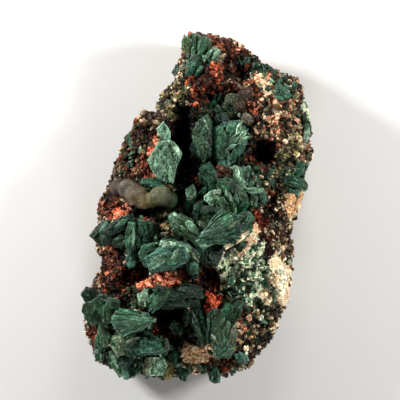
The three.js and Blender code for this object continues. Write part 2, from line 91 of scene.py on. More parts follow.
class Tint(Enum):
    """Mineral colours of the specimen, as linear red, green and blue."""

    BLACK = (0.004, 0.002, 0.001)
    UMBER = (0.018, 0.007, 0.003)
    BROWN = (0.060, 0.022, 0.009)
    RUST = (0.230, 0.045, 0.017)
    SALMON = (0.520, 0.170, 0.090)
    PEACH = (0.560, 0.300, 0.180)
    TAN = (0.280, 0.185, 0.090)
    CREAM = (0.680, 0.530, 0.340)
    WHITE = (0.780, 0.710, 0.510)
    OLIVE = (0.150, 0.130, 0.046)
    MOSS = (0.031, 0.037, 0.016)
    SAGE = (0.029, 0.068, 0.028)
    MINT = (0.085, 0.163, 0.098)
    FOAM = (0.450, 0.500, 0.345)
    TEAL = (0.009, 0.047, 0.022)
    DEEP = (0.003, 0.017, 0.007)
    LEAF = (0.012, 0.035, 0.014)
    SPRUCE = (0.021, 0.069, 0.034)
    # FROST: pale mint of crystal faces, partly their own paler colour, partly painted pearly highlight.
    FROST = (0.200, 0.310, 0.205)
    LICHEN = (0.080, 0.092, 0.050)
    STRAW = (0.085, 0.115, 0.062)
    EARTH = (0.042, 0.026, 0.014)
    CORAL = (0.430, 0.075, 0.028)
    FERN = (0.040, 0.072, 0.024)
    BLUE = (0.028, 0.095, 0.065)
    GREY = (0.085, 0.070, 0.050)
    SMOKE = (0.048, 0.029, 0.021)
    RED = (0.190, 0.018, 0.007)


def table(text: str) -> list[list]:
    """Return the rows of a text table.

    Args:
        text: Rows parted by semicolons or line ends, with cells parted by blanks.

    Returns:
        A list of each row's cells: numbers as floats, and names.
    """
    rows = (row.split() for row in text.replace(";", "\n").splitlines())
    return [[float(cell) if cell[-1].isdigit() else cell for cell in row] for row in rows if row]


def grouped(text: str) -> dict[str, list[list]]:
    """Return the rows of a text table by group.

    Args:
        text: The table; a name alone in a row starts a group.

    Returns:
        The rows below each name.
    """
    groups: dict[str, list[list]] = {}
    for row in table(text):
        if len(row) == 1:
            name = row[0]
        else:
            groups.setdefault(name, []).append(row)
    return groups


# -------- drawing nodes
class Wire:
    """An output socket, or a number, that can be used in sums inside a shader."""

    def __init__(self, shader: "Shader", socket: "bpy.types.NodeSocket | float") -> None:
        """Hold a socket of a shader's tree."""
        self.shader = shader
        self.socket = socket

    def _math(self, operation: str, *terms: "Wire | float", clamp: bool = False) -> "Wire":
        """Return the result of a Math node on the terms."""
        settings = {"operation": operation, "use_clamp": clamp}
        return self.shader.node("ShaderNodeMath", settings, dict(enumerate(terms)))

    def __add__(self, other: "Wire | float") -> "Wire":
        """Return the sum."""
        return self._math("ADD", self, other)

    __radd__ = __add__

    def __mul__(self, other: "Wire | float") -> "Wire":
        """Return the product."""
        return self._math("MULTIPLY", self, other)

    __rmul__ = __mul__

    def __rsub__(self, other: "Wire | float") -> "Wire":
        """Return the other value less this one."""
        return self._math("SUBTRACT", other, self)

    def __pow__(self, other: "Wire | float") -> "Wire":
        """Return the power."""
        return self._math("POWER", self, other)

    def clamped(self) -> "Wire":
        """Return the value kept between 0 and 1."""
        return self._math("ADD", self, 0.0, clamp=True)


class Shader:
    """One material's node tree, ending in a Principled shader."""

    def __init__(self, name: str) -> None:
        """Start an empty material.

        Args:
            name: Name of the material.
        """
        self.material = bpy.data.materials.new(name)
        self.material.use_nodes = True
        self.tree = self.material.node_tree
        self.tree.nodes.clear()
        self.surface = self.tree.nodes.new("ShaderNodeBsdfPrincipled")
        output = self.tree.nodes.new("ShaderNodeOutputMaterial")
        self.tree.links.new(self.surface.outputs[0], output.inputs["Surface"])

    def feed(self, socket: "bpy.types.NodeSocket", value: "Wire | float | tuple") -> None:
        """Link a wire to an input socket, or set the socket's own value.

        Args:
            socket: The input socket.
            value: The wire or the value.
        """
        if isinstance(value, Wire):
            self.tree.links.new(value.socket, socket)
        else:
            socket.default_value = value

    def node(self, kind: str, settings: dict | None = None, inputs: dict | None = None,
             output: int | str = 0) -> Wire:
        """Add a node.

        Args:
            kind: Type name of the node.
            settings: Properties of the node; "stops" are those of a colour ramp.
            inputs: Values or wires for its sockets, by name or place.
            output: Name or place of the socket to return.

        Returns:
            The wire of that output.
        """
        made = self.tree.nodes.new(kind)
        for key, value in (settings or {}).items():
            if key == "stops":
                self._set_stops(made.color_ramp, value)
            else:
                setattr(made, key, value)
        for key, value in (inputs or {}).items():
            self.feed(made.inputs[key], value)
        return Wire(self, made.outputs[output])

    @staticmethod
    def _set_stops(ramp: "bpy.types.ColorRamp", stops: Sequence[tuple]) -> None:
        """Give a ramp its stops.

        Args:
            ramp: The ramp.
            stops: A place and a brightness for each.
        """
        while len(ramp.elements) < len(stops):
            ramp.elements.new(1.0)
        for element, (place, value) in zip(ramp.elements, stops):
            element.position = place
            element.color = (value, value, value, 1.0)

    def mix(self, factor: Wire | float, first: Wire | Colour, second: Wire | Colour,
            blend: str = "MIX") -> Wire:
        """Return the mix of two colours.

        Args:
            factor: Share of the second colour.
            first: First colour.
            second: Second colour.
            blend: Way of mixing.

        Returns:
            The wire of the mixed colour.
        """
        settings = {"data_type": "RGBA", "blend_type": blend}
        colours = [(*c, 1.0) if isinstance(c, tuple) else c for c in (first, second)]
        return self.node("ShaderNodeMix", settings, {0: factor, 6: colours[0], 7: colours[1]}, 2)

    def attribute(self, name: str, output: str = "Color") -> Wire:
        """Return a wire of a mesh attribute."""
        return self.node("ShaderNodeAttribute", {"attribute_name": name}, output=output)

    def speckle(self, scale: float, detail: float = 3.0, roughness: float = 0.6,
                vector: Wire | None = None) -> Wire:
        """Return a noise value.

        Args:
            scale: Waves per metre, or per unit of the vector.
            detail: Number of finer layers.
            roughness: Weight of the finer layers.
            vector: Place to read it at; the object's own place if None.

        Returns:
            The wire of the noise value.
        """
        place = vector or self.node("ShaderNodeTexCoord", output="Object")
        inputs = {"Vector": place, "Scale": scale, "Detail": detail, "Roughness": roughness}
        return self.node("ShaderNodeTexNoise", None, inputs, "Fac")

    def ramp(self, value: Wire, stops: Sequence[tuple]) -> Wire:
        """Return the brightness of a value by stops, each a place and a brightness."""
        return self.node("ShaderNodeValToRGB", {"stops": stops}, {0: value})

    def product(self, first: Wire | Colour, second: Wire | Colour) -> Wire:
        """Return the product of two colours."""
        return self.mix(1.0, first, second, "MULTIPLY")

    def bump(self, height: Wire, distance: float) -> Wire:
        """Return a bumped normal, with the height in metres of a value of 1."""
        return self.node("ShaderNodeBump", None, {"Height": height, "Distance": distance}, "Normal")

    def finish(self, **sockets: "Wire | float | tuple") -> Material:
        """Feed the Principled shader.

        Args:
            **sockets: Wires or values by the name of the socket, with _ for a space.

        Returns:
            The material.
        """
        for name, value in sockets.items():
            self.feed(self.surface.inputs[name.replace("_", " ")], value)
        return self.material


# -------- finishes
@dataclass(frozen=True)
class SpeckledFinish:
    """Rock or grains with a fine speckle.

    Attributes:
        name: Name of the material.
        scale, detail: Waves per metre and number of finer layers of the speckle.
        broadness, broad_detail: How much broader the patches of its roughness are, and their layers.
        shades: Brightness by the value of the speckle.
        roughness, variation: Lowest roughness, and how much more it may be.
        height, lumpiness: Height in metres of the speckle, and how much of it the broad patches have.
        shine: Strength of the reflection.
    """

    name: str
    scale: float
    roughness: float
    detail: float = 3.0
    broadness: float = 5.0
    broad_detail: float = 2.0
    shades: tuple = ((0.36, 0.4), (0.66, 2.0))
    variation: float = 0.35
    height: float = 0.25 * MM
    lumpiness: float = 0.0
    shine: float = 0.2

    def make(self) -> Material:
        """Make the material.

        Returns:
            The material.
        """
        shader = Shader(self.name)
        fine = shader.speckle(self.scale, self.detail, 0.7)
        broad = shader.speckle(self.scale / self.broadness, self.broad_detail)
        return shader.finish(
            Base_Color=shader.product(shader.attribute("tint"), shader.ramp(fine, self.shades)),
            Roughness=(self.roughness + self.variation * broad).clamped(),
            Normal=shader.bump(fine + self.lumpiness * broad, self.height),
            Specular_IOR_Level=self.shine,
        )


ROCK = SpeckledFinish("rock", 1400.0, 0.7, 4.0, 6.0, 3.0, ((0.3, 0.55), (0.7, 1.45)), 0.3, 0.35 * MM,
                      1.0, 0.12)
DRUSE = SpeckledFinish("druse", 1500.0, 0.2)
SPHERULE = SpeckledFinish("spherule", 1100.0, 0.3)


@dataclass(frozen=True)
class CrystalFinish:
    """Pearly green crystal: pale plate edges, partly painted highlight; darker towards the root, painted
    shade; striped along its length.

    Attributes:
        edge_highlight_colour: Colour that the thin edges lean to, partly painted highlight.
        lightening: How much brighter than its crystal an edge is, as painted highlight.
        edge_power: Larger keeps the pale colour closer to the edge.
        stripes: Fineness of the stripes across the crystal, along it and through it.
        root_shade_colour: What the colour is multiplied by at the root, as painted shade.
        roughness: Lowest roughness.
        tones: Brightness of the mottling.
        streaks: Where the pale streaks of the mottling start.
        bump_height: Height of the stripes and the fine roughness in metres.
    """

    edge_highlight_colour: Colour = (0.42, 0.55, 0.46)
    lightening: float = 5.2
    edge_power: float = 1.9
    stripes: tuple[float, float, float] = (1.6, 0.35, 1.6)
    root_shade_colour: Colour = (0.2, 0.28, 0.2)
    roughness: float = 0.1
    tones: tuple = ((0.38, 0.26), (0.5, 0.8), (0.61, 2.7))
    streaks: tuple = ((0.54, 0.0), (0.64, 1.0))
    bump_height: float = 0.32 * MM

    def make(self) -> Material:
        """Make the material.

        Returns:
            The material.
        """
        shader = Shader("heulandite")
        local = shader.attribute("local", "Vector")
        squash = shader.node("ShaderNodeVectorMath", {"operation": "MULTIPLY"},
                             {0: local, 1: self.stripes}, "Vector")
        stripes = shader.speckle(1.6, 4.0, 0.7, squash)
        cloud = shader.speckle(420.0, 3.0, 0.6)
        fine = shader.speckle(1500.0, 3.0, 0.65)
        edge, deep = shader.attribute("edge", "Fac"), shader.attribute("deep", "Fac")
        tint = shader.attribute("tint")
        mottling = 0.3 * stripes + 0.32 * cloud + 0.38 * fine
        body = shader.product(tint, shader.ramp(mottling, self.tones))
        # Painted shade: darker towards the root of a stack and on the skirt, as well as along the dark
        # crack lines between facets.
        body = shader.mix((0.8 * deep).clamped(), body, shader.product(body, self.root_shade_colour))
        streak = shader.ramp(mottling, self.streaks)
        # Pale edges and streaks: partly the thin plates' own paler colour, partly painted highlight.
        pale = edge ** self.edge_power + 0.42 * streak * (1 - deep)
        light = shader.product(tint, (self.lightening,) * 3)
        light = shader.mix(0.45, light, self.edge_highlight_colour)
        colour = shader.mix((0.95 * pale).clamped(), body, light)
        return shader.finish(
            Base_Color=colour,
            Roughness=(self.roughness + 0.3 * fine + 0.4 * deep).clamped(),
            Normal=shader.bump(0.5 * stripes + 0.7 * fine, self.bump_height),
            Specular_IOR_Level=0.26,
        )


@dataclass(frozen=True)
class ChalcedonyFinish:
    """Waxy translucent lumps with faint cloudy bands and tiny crystals on them, whose bright flecks are
    partly painted glints.

    Attributes:
        name: Name of the material.
        frost: How strongly the tiny crystals and their painted glints show, from 0 to 1.
        roughness: Lowest roughness.
        bands: Brightness of the cloudy bands.
    """

    name: str = "chalcedony"
    frost: float = 0.35
    roughness: float = 0.32
    bands: tuple = ((0.3, 0.5), (0.72, 1.2))

    def make(self) -> Material:
        """Make the material.

        Returns:
            The material.
        """
        shader = Shader(self.name)
        cloud = shader.speckle(170.0, 4.0)
        fine = shader.speckle(1100.0, 3.0, 0.7)
        # Bright flecks: the tiny pale crystals, partly painted glints.
        flecks = ((0.36, 1 - 0.7 * self.frost), (0.54, 1.0), (0.6, 1.0), (0.68, 1 + 6 * self.frost))
        colour = shader.product(shader.attribute("tint"), shader.ramp(cloud, self.bands))
        return shader.finish(
            Base_Color=shader.product(colour, shader.ramp(fine, flecks)),
            Roughness=(self.roughness + 0.3 * fine + 0.3 * self.frost).clamped(),
            Normal=shader.bump(fine, (0.08 + 0.4 * self.frost) * MM),
            Specular_IOR_Level=0.2,
        )


@dataclass(frozen=True)
class FloorFinish:
    """Plain pale floor."""

    colour: Colour = (0.75, 0.74, 0.72)

    def make(self) -> Material:
        """Make the material.

        Returns:
            The material.
        """
        shader = Shader("floor")
        faint = shader.speckle(6.0, 2.0)
        colour = shader.mix(0.06 * faint, self.colour, (0.7, 0.7, 0.7))
        return shader.finish(Base_Color=colour, Roughness=0.8)


# -------- mesh helpers
@dataclass
class MeshPot:
    """Collects points, faces and attributes of one piece.

    Attributes:
        points: Blocks of points.
        faces: Faces as lists of point numbers.
        values: Blocks of attribute values, by attribute name.
        count: Number of points so far.
    """

    points: list[Array] = field(default_factory=list)
    faces: list[Sequence[int]] = field(default_factory=list)
    values: dict[str, list[Array]] = field(default_factory=dict)
    count: int = 0

    def add(self, points: Array, faces: Iterable[Sequence[int]], **values: Array) -> None:
        """Add one body.

        Args:
            points: Its points, one row each, in metres.
            faces: Its faces, numbered from its own first point.
            **values: Its attribute values, one row for each point.
        """
        start = self.count
        self.points.append(points)
        self.faces.extend([start + int(corner) for corner in face] for face in faces)
        for name, value in values.items():
            self.values.setdefault(name, []).append(value)
        self.count += len(points)

    def build(self, name: str) -> Object:
        """Make the object.

        Args:
            name: Name of the piece.

        Returns:
            The new object, linked to the scene.
        """
        mesh = bpy.data.meshes.new(name)
        mesh.from_pydata(np.concatenate(self.points).tolist(), [], self.faces)
        for key, blocks in self.values.items():
            write_attribute(mesh, key, np.concatenate(blocks))
        return link_mesh(name, mesh)


def write_attribute(mesh: Mesh, name: str, values: Array) -> None:
    """Store a value, a vector or a colour for each point of a mesh.

    Args:
        mesh: The mesh.
        name: Name of the attribute; "tint" is stored as a colour.
        values: One row for each point.
    """
    kind, key = ("FLOAT", "value") if values.ndim == 1 else ("FLOAT_VECTOR", "vector")
    if name == "tint":
        kind, key = "FLOAT_COLOR", "color"
        values = np.column_stack((values, np.ones(len(values))))
    flat = values.astype(np.float32).ravel()
    mesh.attributes.new(name, kind, "POINT").data.foreach_set(key, flat)


def link_mesh(name: str, mesh: Mesh) -> Object:
    """Make an object of a mesh and link it to the scene.

    Args:
        name: The object's name.
        mesh: The mesh.

    Returns:
        The new object.
    """
    piece = bpy.data.objects.new(name, mesh)
    bpy.context.scene.collection.objects.link(piece)
    return piece


def read_points(mesh: Mesh, kind: str = "co") -> Array:
    """Read the places or normals of a mesh's points.

    Args:
        mesh: The mesh.
        kind: "co" for places or "normal" for normals.

    Returns:
        One row for each point.
    """
    flat = np.empty(len(mesh.vertices) * 3, np.float32)
    mesh.vertices.foreach_get(kind, flat)
    return flat.reshape(-1, 3).astype(float)


def applied(work: Object) -> Mesh:
    """Return the mesh of a working object with its modifiers applied.

    Args:
        work: The object, which is removed.

    Returns:
        The new mesh.
    """
    mesh = bpy.data.meshes.new_from_object(work.evaluated_get(bpy.context.evaluated_depsgraph_get()))
    bpy.data.objects.remove(work)
    return mesh


def remeshed(source: Mesh, voxel: float, smooth: int = 0) -> Mesh:
    """Return an even, closed mesh of the form of another.

    Args:
        source: The other mesh; it stays as it is.
        voxel: Size of the new faces in metres.
        smooth: Rounds of smoothing.

    Returns:
        The new mesh.
    """
    work = link_mesh("work", source)
    work.modifiers.new("even", "REMESH").mode = "VOXEL"
    work.modifiers["even"].voxel_size = voxel
    if smooth:
        work.modifiers.new("soft", "SMOOTH").iterations = smooth
    return applied(work)


def turned(degrees: float, axis: str) -> Matrix:
    """Return a turn about an axis."""
    return Matrix.Rotation(math.radians(degrees), 4, axis)


def dress(piece: Object, material: Material, slot: str, *nodes: str) -> Object:
    """Give a piece its material and its place in the frame.

    Args:
        piece: The piece.
        material: Its material.
        slot: Material slot of the record for its finish; not used.
        *nodes: CAD nodes that it stands for.

    Returns:
        The piece.
    """
    piece.data.materials.clear()
    piece.data.materials.append(material)
    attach(piece, "root")
    if nodes:
        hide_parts(*nodes)
    LOG.info("%s: %d faces", piece.name, len(piece.data.polygons))
    return piece


# -------- the druse and where it grows
class Druse(Enum):
    """Kinds of druse: brightness, grain size in mm, share of round grains, and tints with shares."""

    CROWN = (0.48, 1.2, 0.2, "SALMON 5 RUST 7 PEACH 1 RED 1 BROWN 4")
    KNOBS = (1.05, 1.3, 0.7, "SALMON 1 RUST 5 RED 1 BROWN 5 UMBER 4 MOSS 1")
    DARK = (0.7, 1.1, 0.2, "UMBER 5 BROWN 4 RUST 2 TAN 1")
    # BLACK: near-black grains laid in the deep hollows and crevices between the crystals, painted shade.
    BLACK = (0.6, 1.1, 0.2, "BLACK 5 UMBER 3")
    LEDGE = (0.62, 1.1, 0.2, "CREAM 4 PEACH 3 RUST 2 BROWN 2")
    DARK_RED = (0.72, 1.2, 0.3, "UMBER 3 BROWN 5 RUST 4 SALMON 1")
    OLIVE = (0.92, 1.4, 0.5, "OLIVE 5 CREAM 2 TAN 2 MOSS 4 UMBER 2")
    WALL = (0.6, 1.2, 0.3, "RUST 4 PEACH 1 TAN 3 BROWN 6 SAGE 2 OLIVE 2 UMBER 5")
    FIELD = (1.15, 1.1, 0.2, "PEACH 6 CREAM 3 SALMON 2 RUST 1 SAGE 3 OLIVE 3 UMBER 5")
    FLANK = (2.9, 0.85, 0.2, "WHITE 2 FOAM 9 CREAM 1 MINT 4 MOSS 2 DEEP 2")
    RUBBLE = (1.0, 1.2, 0.4, "CREAM 3 TAN 3 SAGE 2 BROWN 3 DEEP 2 BLACK 3")
    CREAM = (2.4, 0.8, 0.5, "CREAM 6 WHITE 3 PEACH 1")
    MASSIVE = (9.0, 0.8, 0.3, "CREAM 4 PEACH 3 WHITE 4")
    CRUMBS = (2.9, 0.95, 0.4, "CREAM 5 TAN 3 PEACH 3 OLIVE 1")
    STRIP = (1.0, 1.1, 0.2, "BROWN 4 CREAM 3 UMBER 4 TAN 2 FOAM 1")
    SALMON = (1.8, 1.7, 0.8, "SALMON 5 PEACH 1 RUST 5 BROWN 1")
    RED = (0.75, 1.4, 0.6, "RED 7 RUST 2 UMBER 2")
    CORAL = (1.3, 1.4, 0.6, "CORAL 5 SALMON 2 RED 3")
    PILLAR = (0.8, 1.2, 0.3, "BROWN 5 RUST 3 SALMON 1 UMBER 7")
    SHADE = (0.9, 1.2, 0.2, "DEEP 4 MOSS 3 TEAL 1 BROWN 2")
    GREEN = (1.0, 1.5, 0.1, "SAGE 3 TEAL 3 FOAM 2 DEEP 3 TAN 1")
    NODULES = (0.4, 1.9, 0.9, "CREAM 2 PEACH 1 TAN 4 RUST 2 BROWN 4")

    def __init__(self, gain: float, size: float, roundness: float, mixture: str) -> None:
        """Take the kind's values, and read its tints.

        Args:
            gain: Brightness.
            size: Size of the grains in mm.
            roundness: Share of round grains.
            mixture: Tints, each with its share.
        """
        self.gain, self.size, self.roundness = gain, size, roundness
        words = mixture.split()
        self.palette = np.array([Tint[word].value for word in words[::2]])
        shares = np.array(words[1::2], float)
        self.cuts = np.cumsum(shares / shares.sum())


@dataclass(frozen=True)
class Zone:
    """A patch of one kind of druse.

    Attributes:
        u, v: Plan place of its middle.
        across: Half width in plan steps.
        along: Half length in plan steps.
        druse: Its kind.
        turn: Turn of its length, anticlockwise, in degrees.
        strength: Weight against its neighbours.
    """

    u: float
    v: float
    across: float
    along: float
    druse: Druse
    turn: float = 0.0
    strength: float = 1.0

    def weight(self, u: Array, v: Array) -> Array:
        """Weigh the patch against others.

        Args:
            u, v: Plan places.

        Returns:
            Its weight at each place.
        """
        turn = math.radians(self.turn)
        right, up = u - self.u, self.v - v
        across = (math.cos(turn) * right + math.sin(turn) * up) / self.across
        along = (math.cos(turn) * up - math.sin(turn) * right) / self.along
        return self.strength * np.exp(-1.6 * (across ** 2 + along ** 2) ** 1.5)


# u, v, half width, half length, kind, turn, strength.
ZONES = [Zone(*row[:4], Druse[row[4]], *row[5:]) for row in table("""
205 190 70 80 SHADE 0 .35; 150 330 60 60 SHADE 0 .4; 275 100 34 40 FIELD 0 .8; 276 104 13 20 LEDGE 20;
222 40 32 9 CROWN -24; 197 33 14 7 CROWN; 236 42 9 5 LEDGE -40 2; 266 86 6 9 MASSIVE 0 3;
182 54 5 9 LEDGE; 208 78 19 20 KNOBS 0 1.3; 238 68 17 15 DARK 0 1.2; 252 60 12 8 WALL -30;
240 84 19 4 LEDGE -4 1.3; 232 92 24 6 DARK_RED; 228 104 22 12 GREEN 0 .8; 255 106 7 20 DARK_RED 8 2.2;
205 98 14 9 DARK_RED; 180 87 11 9 OLIVE; 170 103 13 14 OLIVE 0 1.2; 175 121 13 7 WALL;
133 146 26 38 WALL 20 .9; 144 121 16 8 NODULES; 153 146 4 10 SALMON 0 1.3; 145 172 14 9 CROWN;
150 134 8 7 DARK_RED; 109 192 6 12 WALL -20 1.5; 110 208 10 11 CROWN 0 1.2; 122 211 13 5 SALMON 35;
144 212 13 8 BLACK 0 1.3; 147 221 9 3 SALMON; 162 223 11 13 OLIVE; 102 246 6 6 LEDGE;
113 274 14 30 PILLAR 0 1.1; 103 283 8 6 NODULES 0 1.2; 110 260 5 12 CROWN; 94 342 6 20 CROWN -12;
138 274 13 14 DARK_RED; 165 277 16 8 SALMON 0 3; 147 285 8 6 SALMON 0 1.2; 213 305 7 10 CORAL 0 6;
207 284 13 14 DARK_RED; 258 221 8 7 RED -30 5; 269 197 3 9 RED 20 1.2; 247 240 15 7 MASSIVE 48 8;
246 268 26 34 FLANK 0 1.6; 280 279 9 24 CREAM 5 4; 268 297 8 8 CREAM 0 3; 262 332 22 26 RUBBLE 0 1.2;
277 236 14 30 STRIP 0 1.1; 267 246 4 16 DARK 5 3; 250 286 5 7 SHADE 0 3; 262 310 4 12 SHADE 20 2;
240 300 5 8 SHADE 0 2; 264 134 18 5 LEDGE 5 1.4; 263 155 14 17 DARK_RED 0 1.5; 284 151 8 13 OLIVE;
297 146 7 16 OLIVE; 306 153 4 16 LEDGE; 296 200 9 16 CRUMBS -15 1.6; 276 180 16 16 OLIVE 0 .7;
296 176 13 12 GREEN; 282 92 12 8 GREEN 0 1.1; 290 80 14 7 STRIP; 262 68 10 7 GREEN; 308 112 4 20 FLANK;
285 125 12 12 WALL; 197 356 18 10 CRUMBS 0 3; 234 366 18 9 NODULES 0 .9; 207 362 12 8 CROWN 0 .7;
240 334 9 15 NODULES 0 1.1; 247 348 9 8 NODULES; 163 330 14 11 DARK_RED 0 1.5; 184 146 11 46 BLACK 0 1.6;
184 192 9 20 BLACK; 171 315 17 10 BLACK 0 1.4; 215 140 34 34 SHADE; 196 180 5 6 CROWN 0 2;
228 298 14 12 GREEN; 104 356 10 8 WALL
""")]

# Hollows that are painted dark as painted shade: u, v, half width, half length (plan steps), depth of the
# painted shade.
HOLLOWS = table("""
184 146 12 50 1; 183 192 11 24 .8; 222 120 30 20 .5; 238 68 15 12 .6; 222 98 26 9 .6; 263 154 15 19 .75;
292 154 5 7 .9; 272 206 12 24 .5; 144 213 12 8 .9; 149 134 8 8 .7; 209 276 12 14 .8; 138 272 12 13 .7;
171 314 18 11 1; 163 331 10 8 .5; 185 334 14 12 .7; 150 376 7 7 .8; 120 300 8 8 .6; 267 246 4 16 .6;
250 286 5 6 .6; 262 310 3 12 .5; 230 215 8 8 .5; 113 320 8 8 .6; 204 366 9 8 .6
""")


@dataclass(frozen=True)
class DruseMap:
    """Says which druse grows at each place of the rock, and how dark its hollows are painted as painted
    shade.

    Attributes:
        kinds: The kinds of druse.
        base: Kind that grows where there is no patch.
        base_weight: Its weight against the patches.
        kind_clump: Size of the clumps of one kind in metres.
        tint_clump: Size of the clumps of one tint in metres.
        darkening: How much of the light the darkest painted hollow shade takes away.
    """

    kinds: tuple[Druse, ...] = tuple(Druse)
    base: Druse = Druse.STRIP
    base_weight: float = 0.12
    kind_clump: float = 3.5 * MM
    tint_clump: float = 1.9 * MM
    darkening: float = 0.93

    def _warped(self, points: Array) -> tuple[Array, Array]:
        """Shift plan places to and fro, more so low on the flanks, so that patches are ragged.

        Args:
            points: Places in metres.

        Returns:
            The shifted u values and v values.
        """
        u, v = PLAN.steps(points)
        level = points[:, 2] / MM
        low = 16 * np.clip((17 - level) / 9, 0, 1)
        shift_u = 2.2 * np.sin(v / 4.1 + 1.0) + 1.6 * np.sin(u / 2.3 + v / 3.1)
        shift_v = 2.2 * np.sin(u / 3.7 + 2.0) + 1.6 * np.sin(u / 2.9 - v / 2.1)
        shift_u += low * np.sin(level / 2.6 + v / 7)
        shift_v += low * np.sin(level / 3.4 + u / 9 + 2)
        return u + shift_u, v + shift_v

    def weights(self, points: Array) -> Array:
        """Weigh the kinds of druse.

        Args:
            points: Places in metres.

        Returns:
            One row for each point, with the weight of each kind.
        """
        u, v = self._warped(points)
        sums = np.zeros((len(points), len(self.kinds)))
        sums[:, self.kinds.index(self.base)] = self.base_weight
        for zone in ZONES:
            sums[:, self.kinds.index(zone.druse)] += zone.weight(u, v)
        return sums

    def hollow_shade(self, points: Array) -> Array:
        """Find how dark the hollows are painted, as painted shade.

        Args:
            points: Places in metres.

        Returns:
            The painted shade at each point, from 0 to 1.
        """
        u, v = self._warped(points)
        dark = np.zeros(len(points))
        for middle_u, middle_v, across, along, depth in HOLLOWS:
            reach = ((u - middle_u) / across) ** 2 + ((v - middle_v) / along) ** 2
            dark = np.maximum(dark, depth * np.clip(1.6 - 1.6 * reach, 0, 1))
        return dark

    def tints(self, points: Array, scatter: Array) -> tuple[Array, Array]:
        """Choose a kind of druse and a tint for each point; both change in small clumps.

        Args:
            points: Places in metres.
            scatter: A random number from 0 to 1 for each, which loosens the clumps.

        Returns:
            The number of the kind and the tint of each point, darkened in the hollows as painted shade.
        """
        weights = self.weights(points) ** 3
        cuts = np.cumsum(weights / weights.sum(axis=1, keepdims=True), axis=1)
        lot = ranked(0.85 * cloud_values(points, self.kind_clump, 5) + 0.15 * scatter)
        kinds = (lot[:, None] > cuts).sum(axis=1).clip(0, len(self.kinds) - 1)
        lot = ranked(0.8 * cloud_values(points, self.tint_clump, 3) + 0.2 * scatter)
        tints = np.empty((len(points), 3))
        for number, kind in enumerate(self.kinds):
            chosen = kinds == number
            picks = (lot[chosen, None] > kind.cuts).sum(axis=1)
            tints[chosen] = kind.palette[picks.clip(0, len(kind.palette) - 1)]
        gains = np.array([kind.gain for kind in self.kinds])[kinds]
        # Painted shade: the tints are darkened in the hollows.
        return kinds, tints * (gains * (1 - self.darkening * self.hollow_shade(points)))[:, None]


def limited(tints: Array, highest: float = 0.86) -> Array:
    """Return colours dimmed where their strongest channel would pass a limit."""
    return tints / np.maximum(1, tints.max(axis=1, keepdims=True) / highest)


def ranked(values: Array) -> Array:
    """Return each value's place in their order, from 0 to 1."""
    return np.argsort(np.argsort(values)) / len(values)


def cloud_values(points: Array, size: float, seed: int) -> Array:
    """Return a smooth random value from about 0 to 1 at each point.

    Args:
        points: Places in metres.
        size: Size of the clouds in metres.
        seed: Number of the cloud pattern.

    Returns:
        One value for each point.
    """
    shift = Vector((seed * 7.3, seed * 3.1, seed * 5.7))
    return np.array([0.5 + 0.5 * noise.fractal(Vector(point) / size + shift, 1.0, 2.0, 3)
                     for point in points])


# -------- the rock and its grains
@dataclass
class Rock:
    """The lump of rock.

    Attributes:
        voxel: Size of its faces in metres.
        knob_size: Distance between the knobs of its face in metres.
        knob_height: Height of the knobs in metres.
        lump_size: Distance between the broader lumps in metres.
        lump_height: Height of the broader lumps in metres.
        back: Height below which it stays flat, in metres.
        relief: Rise from the deepest to the highest places of the relief, in metres.
        seed: Start of the random numbers.
    """

    voxel: float = 0.85 * MM
    knob_size: float = 2.3 * MM
    knob_height: float = 0.8 * MM
    lump_size: float = 5 * MM
    lump_height: float = 1.5 * MM
    back: float = 3 * MM
    relief: float = 2.4 * MM
    seed: int = 3

    def _raised(self, point: Vector) -> float:
        """Find how far a point of the face stands out.

        Args:
            point: The point.

        Returns:
            The distance in metres.
        """
        near = noise.voronoi(point / self.knob_size)[0]
        knob = max(0.0, 1 - near[0] ** 2 * 1.6)
        crack = min(1.0, (near[1] - near[0]) * 3)
        broad = noise.fractal(point / self.lump_size, 0.8, 2.1, 4)
        return self.knob_height * (knob * 0.7 + crack * 0.5 - 0.6) + self.lump_height * broad

    def build(self, druse: DruseMap) -> Object:
        """Make the rock.

        Args:
            druse: Where each kind of druse grows.

        Returns:
            The piece.
        """
        mesh = remeshed(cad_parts["matrix"].data, self.voxel)
        points, normals = read_points(mesh), read_points(mesh, "normal")
        fade = np.clip(points[:, 2] / self.back - 0.2, 0, 1)
        raised = np.array([self._raised(Vector(point)) for point in points]) * fade
        points += normals * raised[:, None]
        points[:, 2] = np.maximum(points[:, 2], 0)
        mesh.vertices.foreach_set("co", points.astype(np.float32).ravel())
        mesh.update()
        relief = np.clip(0.55 + raised / self.relief, 0, 1)
        rng = np.random.default_rng(self.seed)
        tints = druse.tints(points, rng.random(len(points)))[1]
        # Painted shade and light: the tint is darker in the hollows and lighter on the knobs of the relief.
        write_attribute(mesh, "tint", limited(tints * (0.12 + 0.7 * relief ** 1.5)[:, None]))
        write_attribute(mesh, "relief", relief)
        mesh.shade_smooth()
        piece = link_mesh("rock", mesh)
        return dress(piece, ROCK.make(), "rock", "matrix")


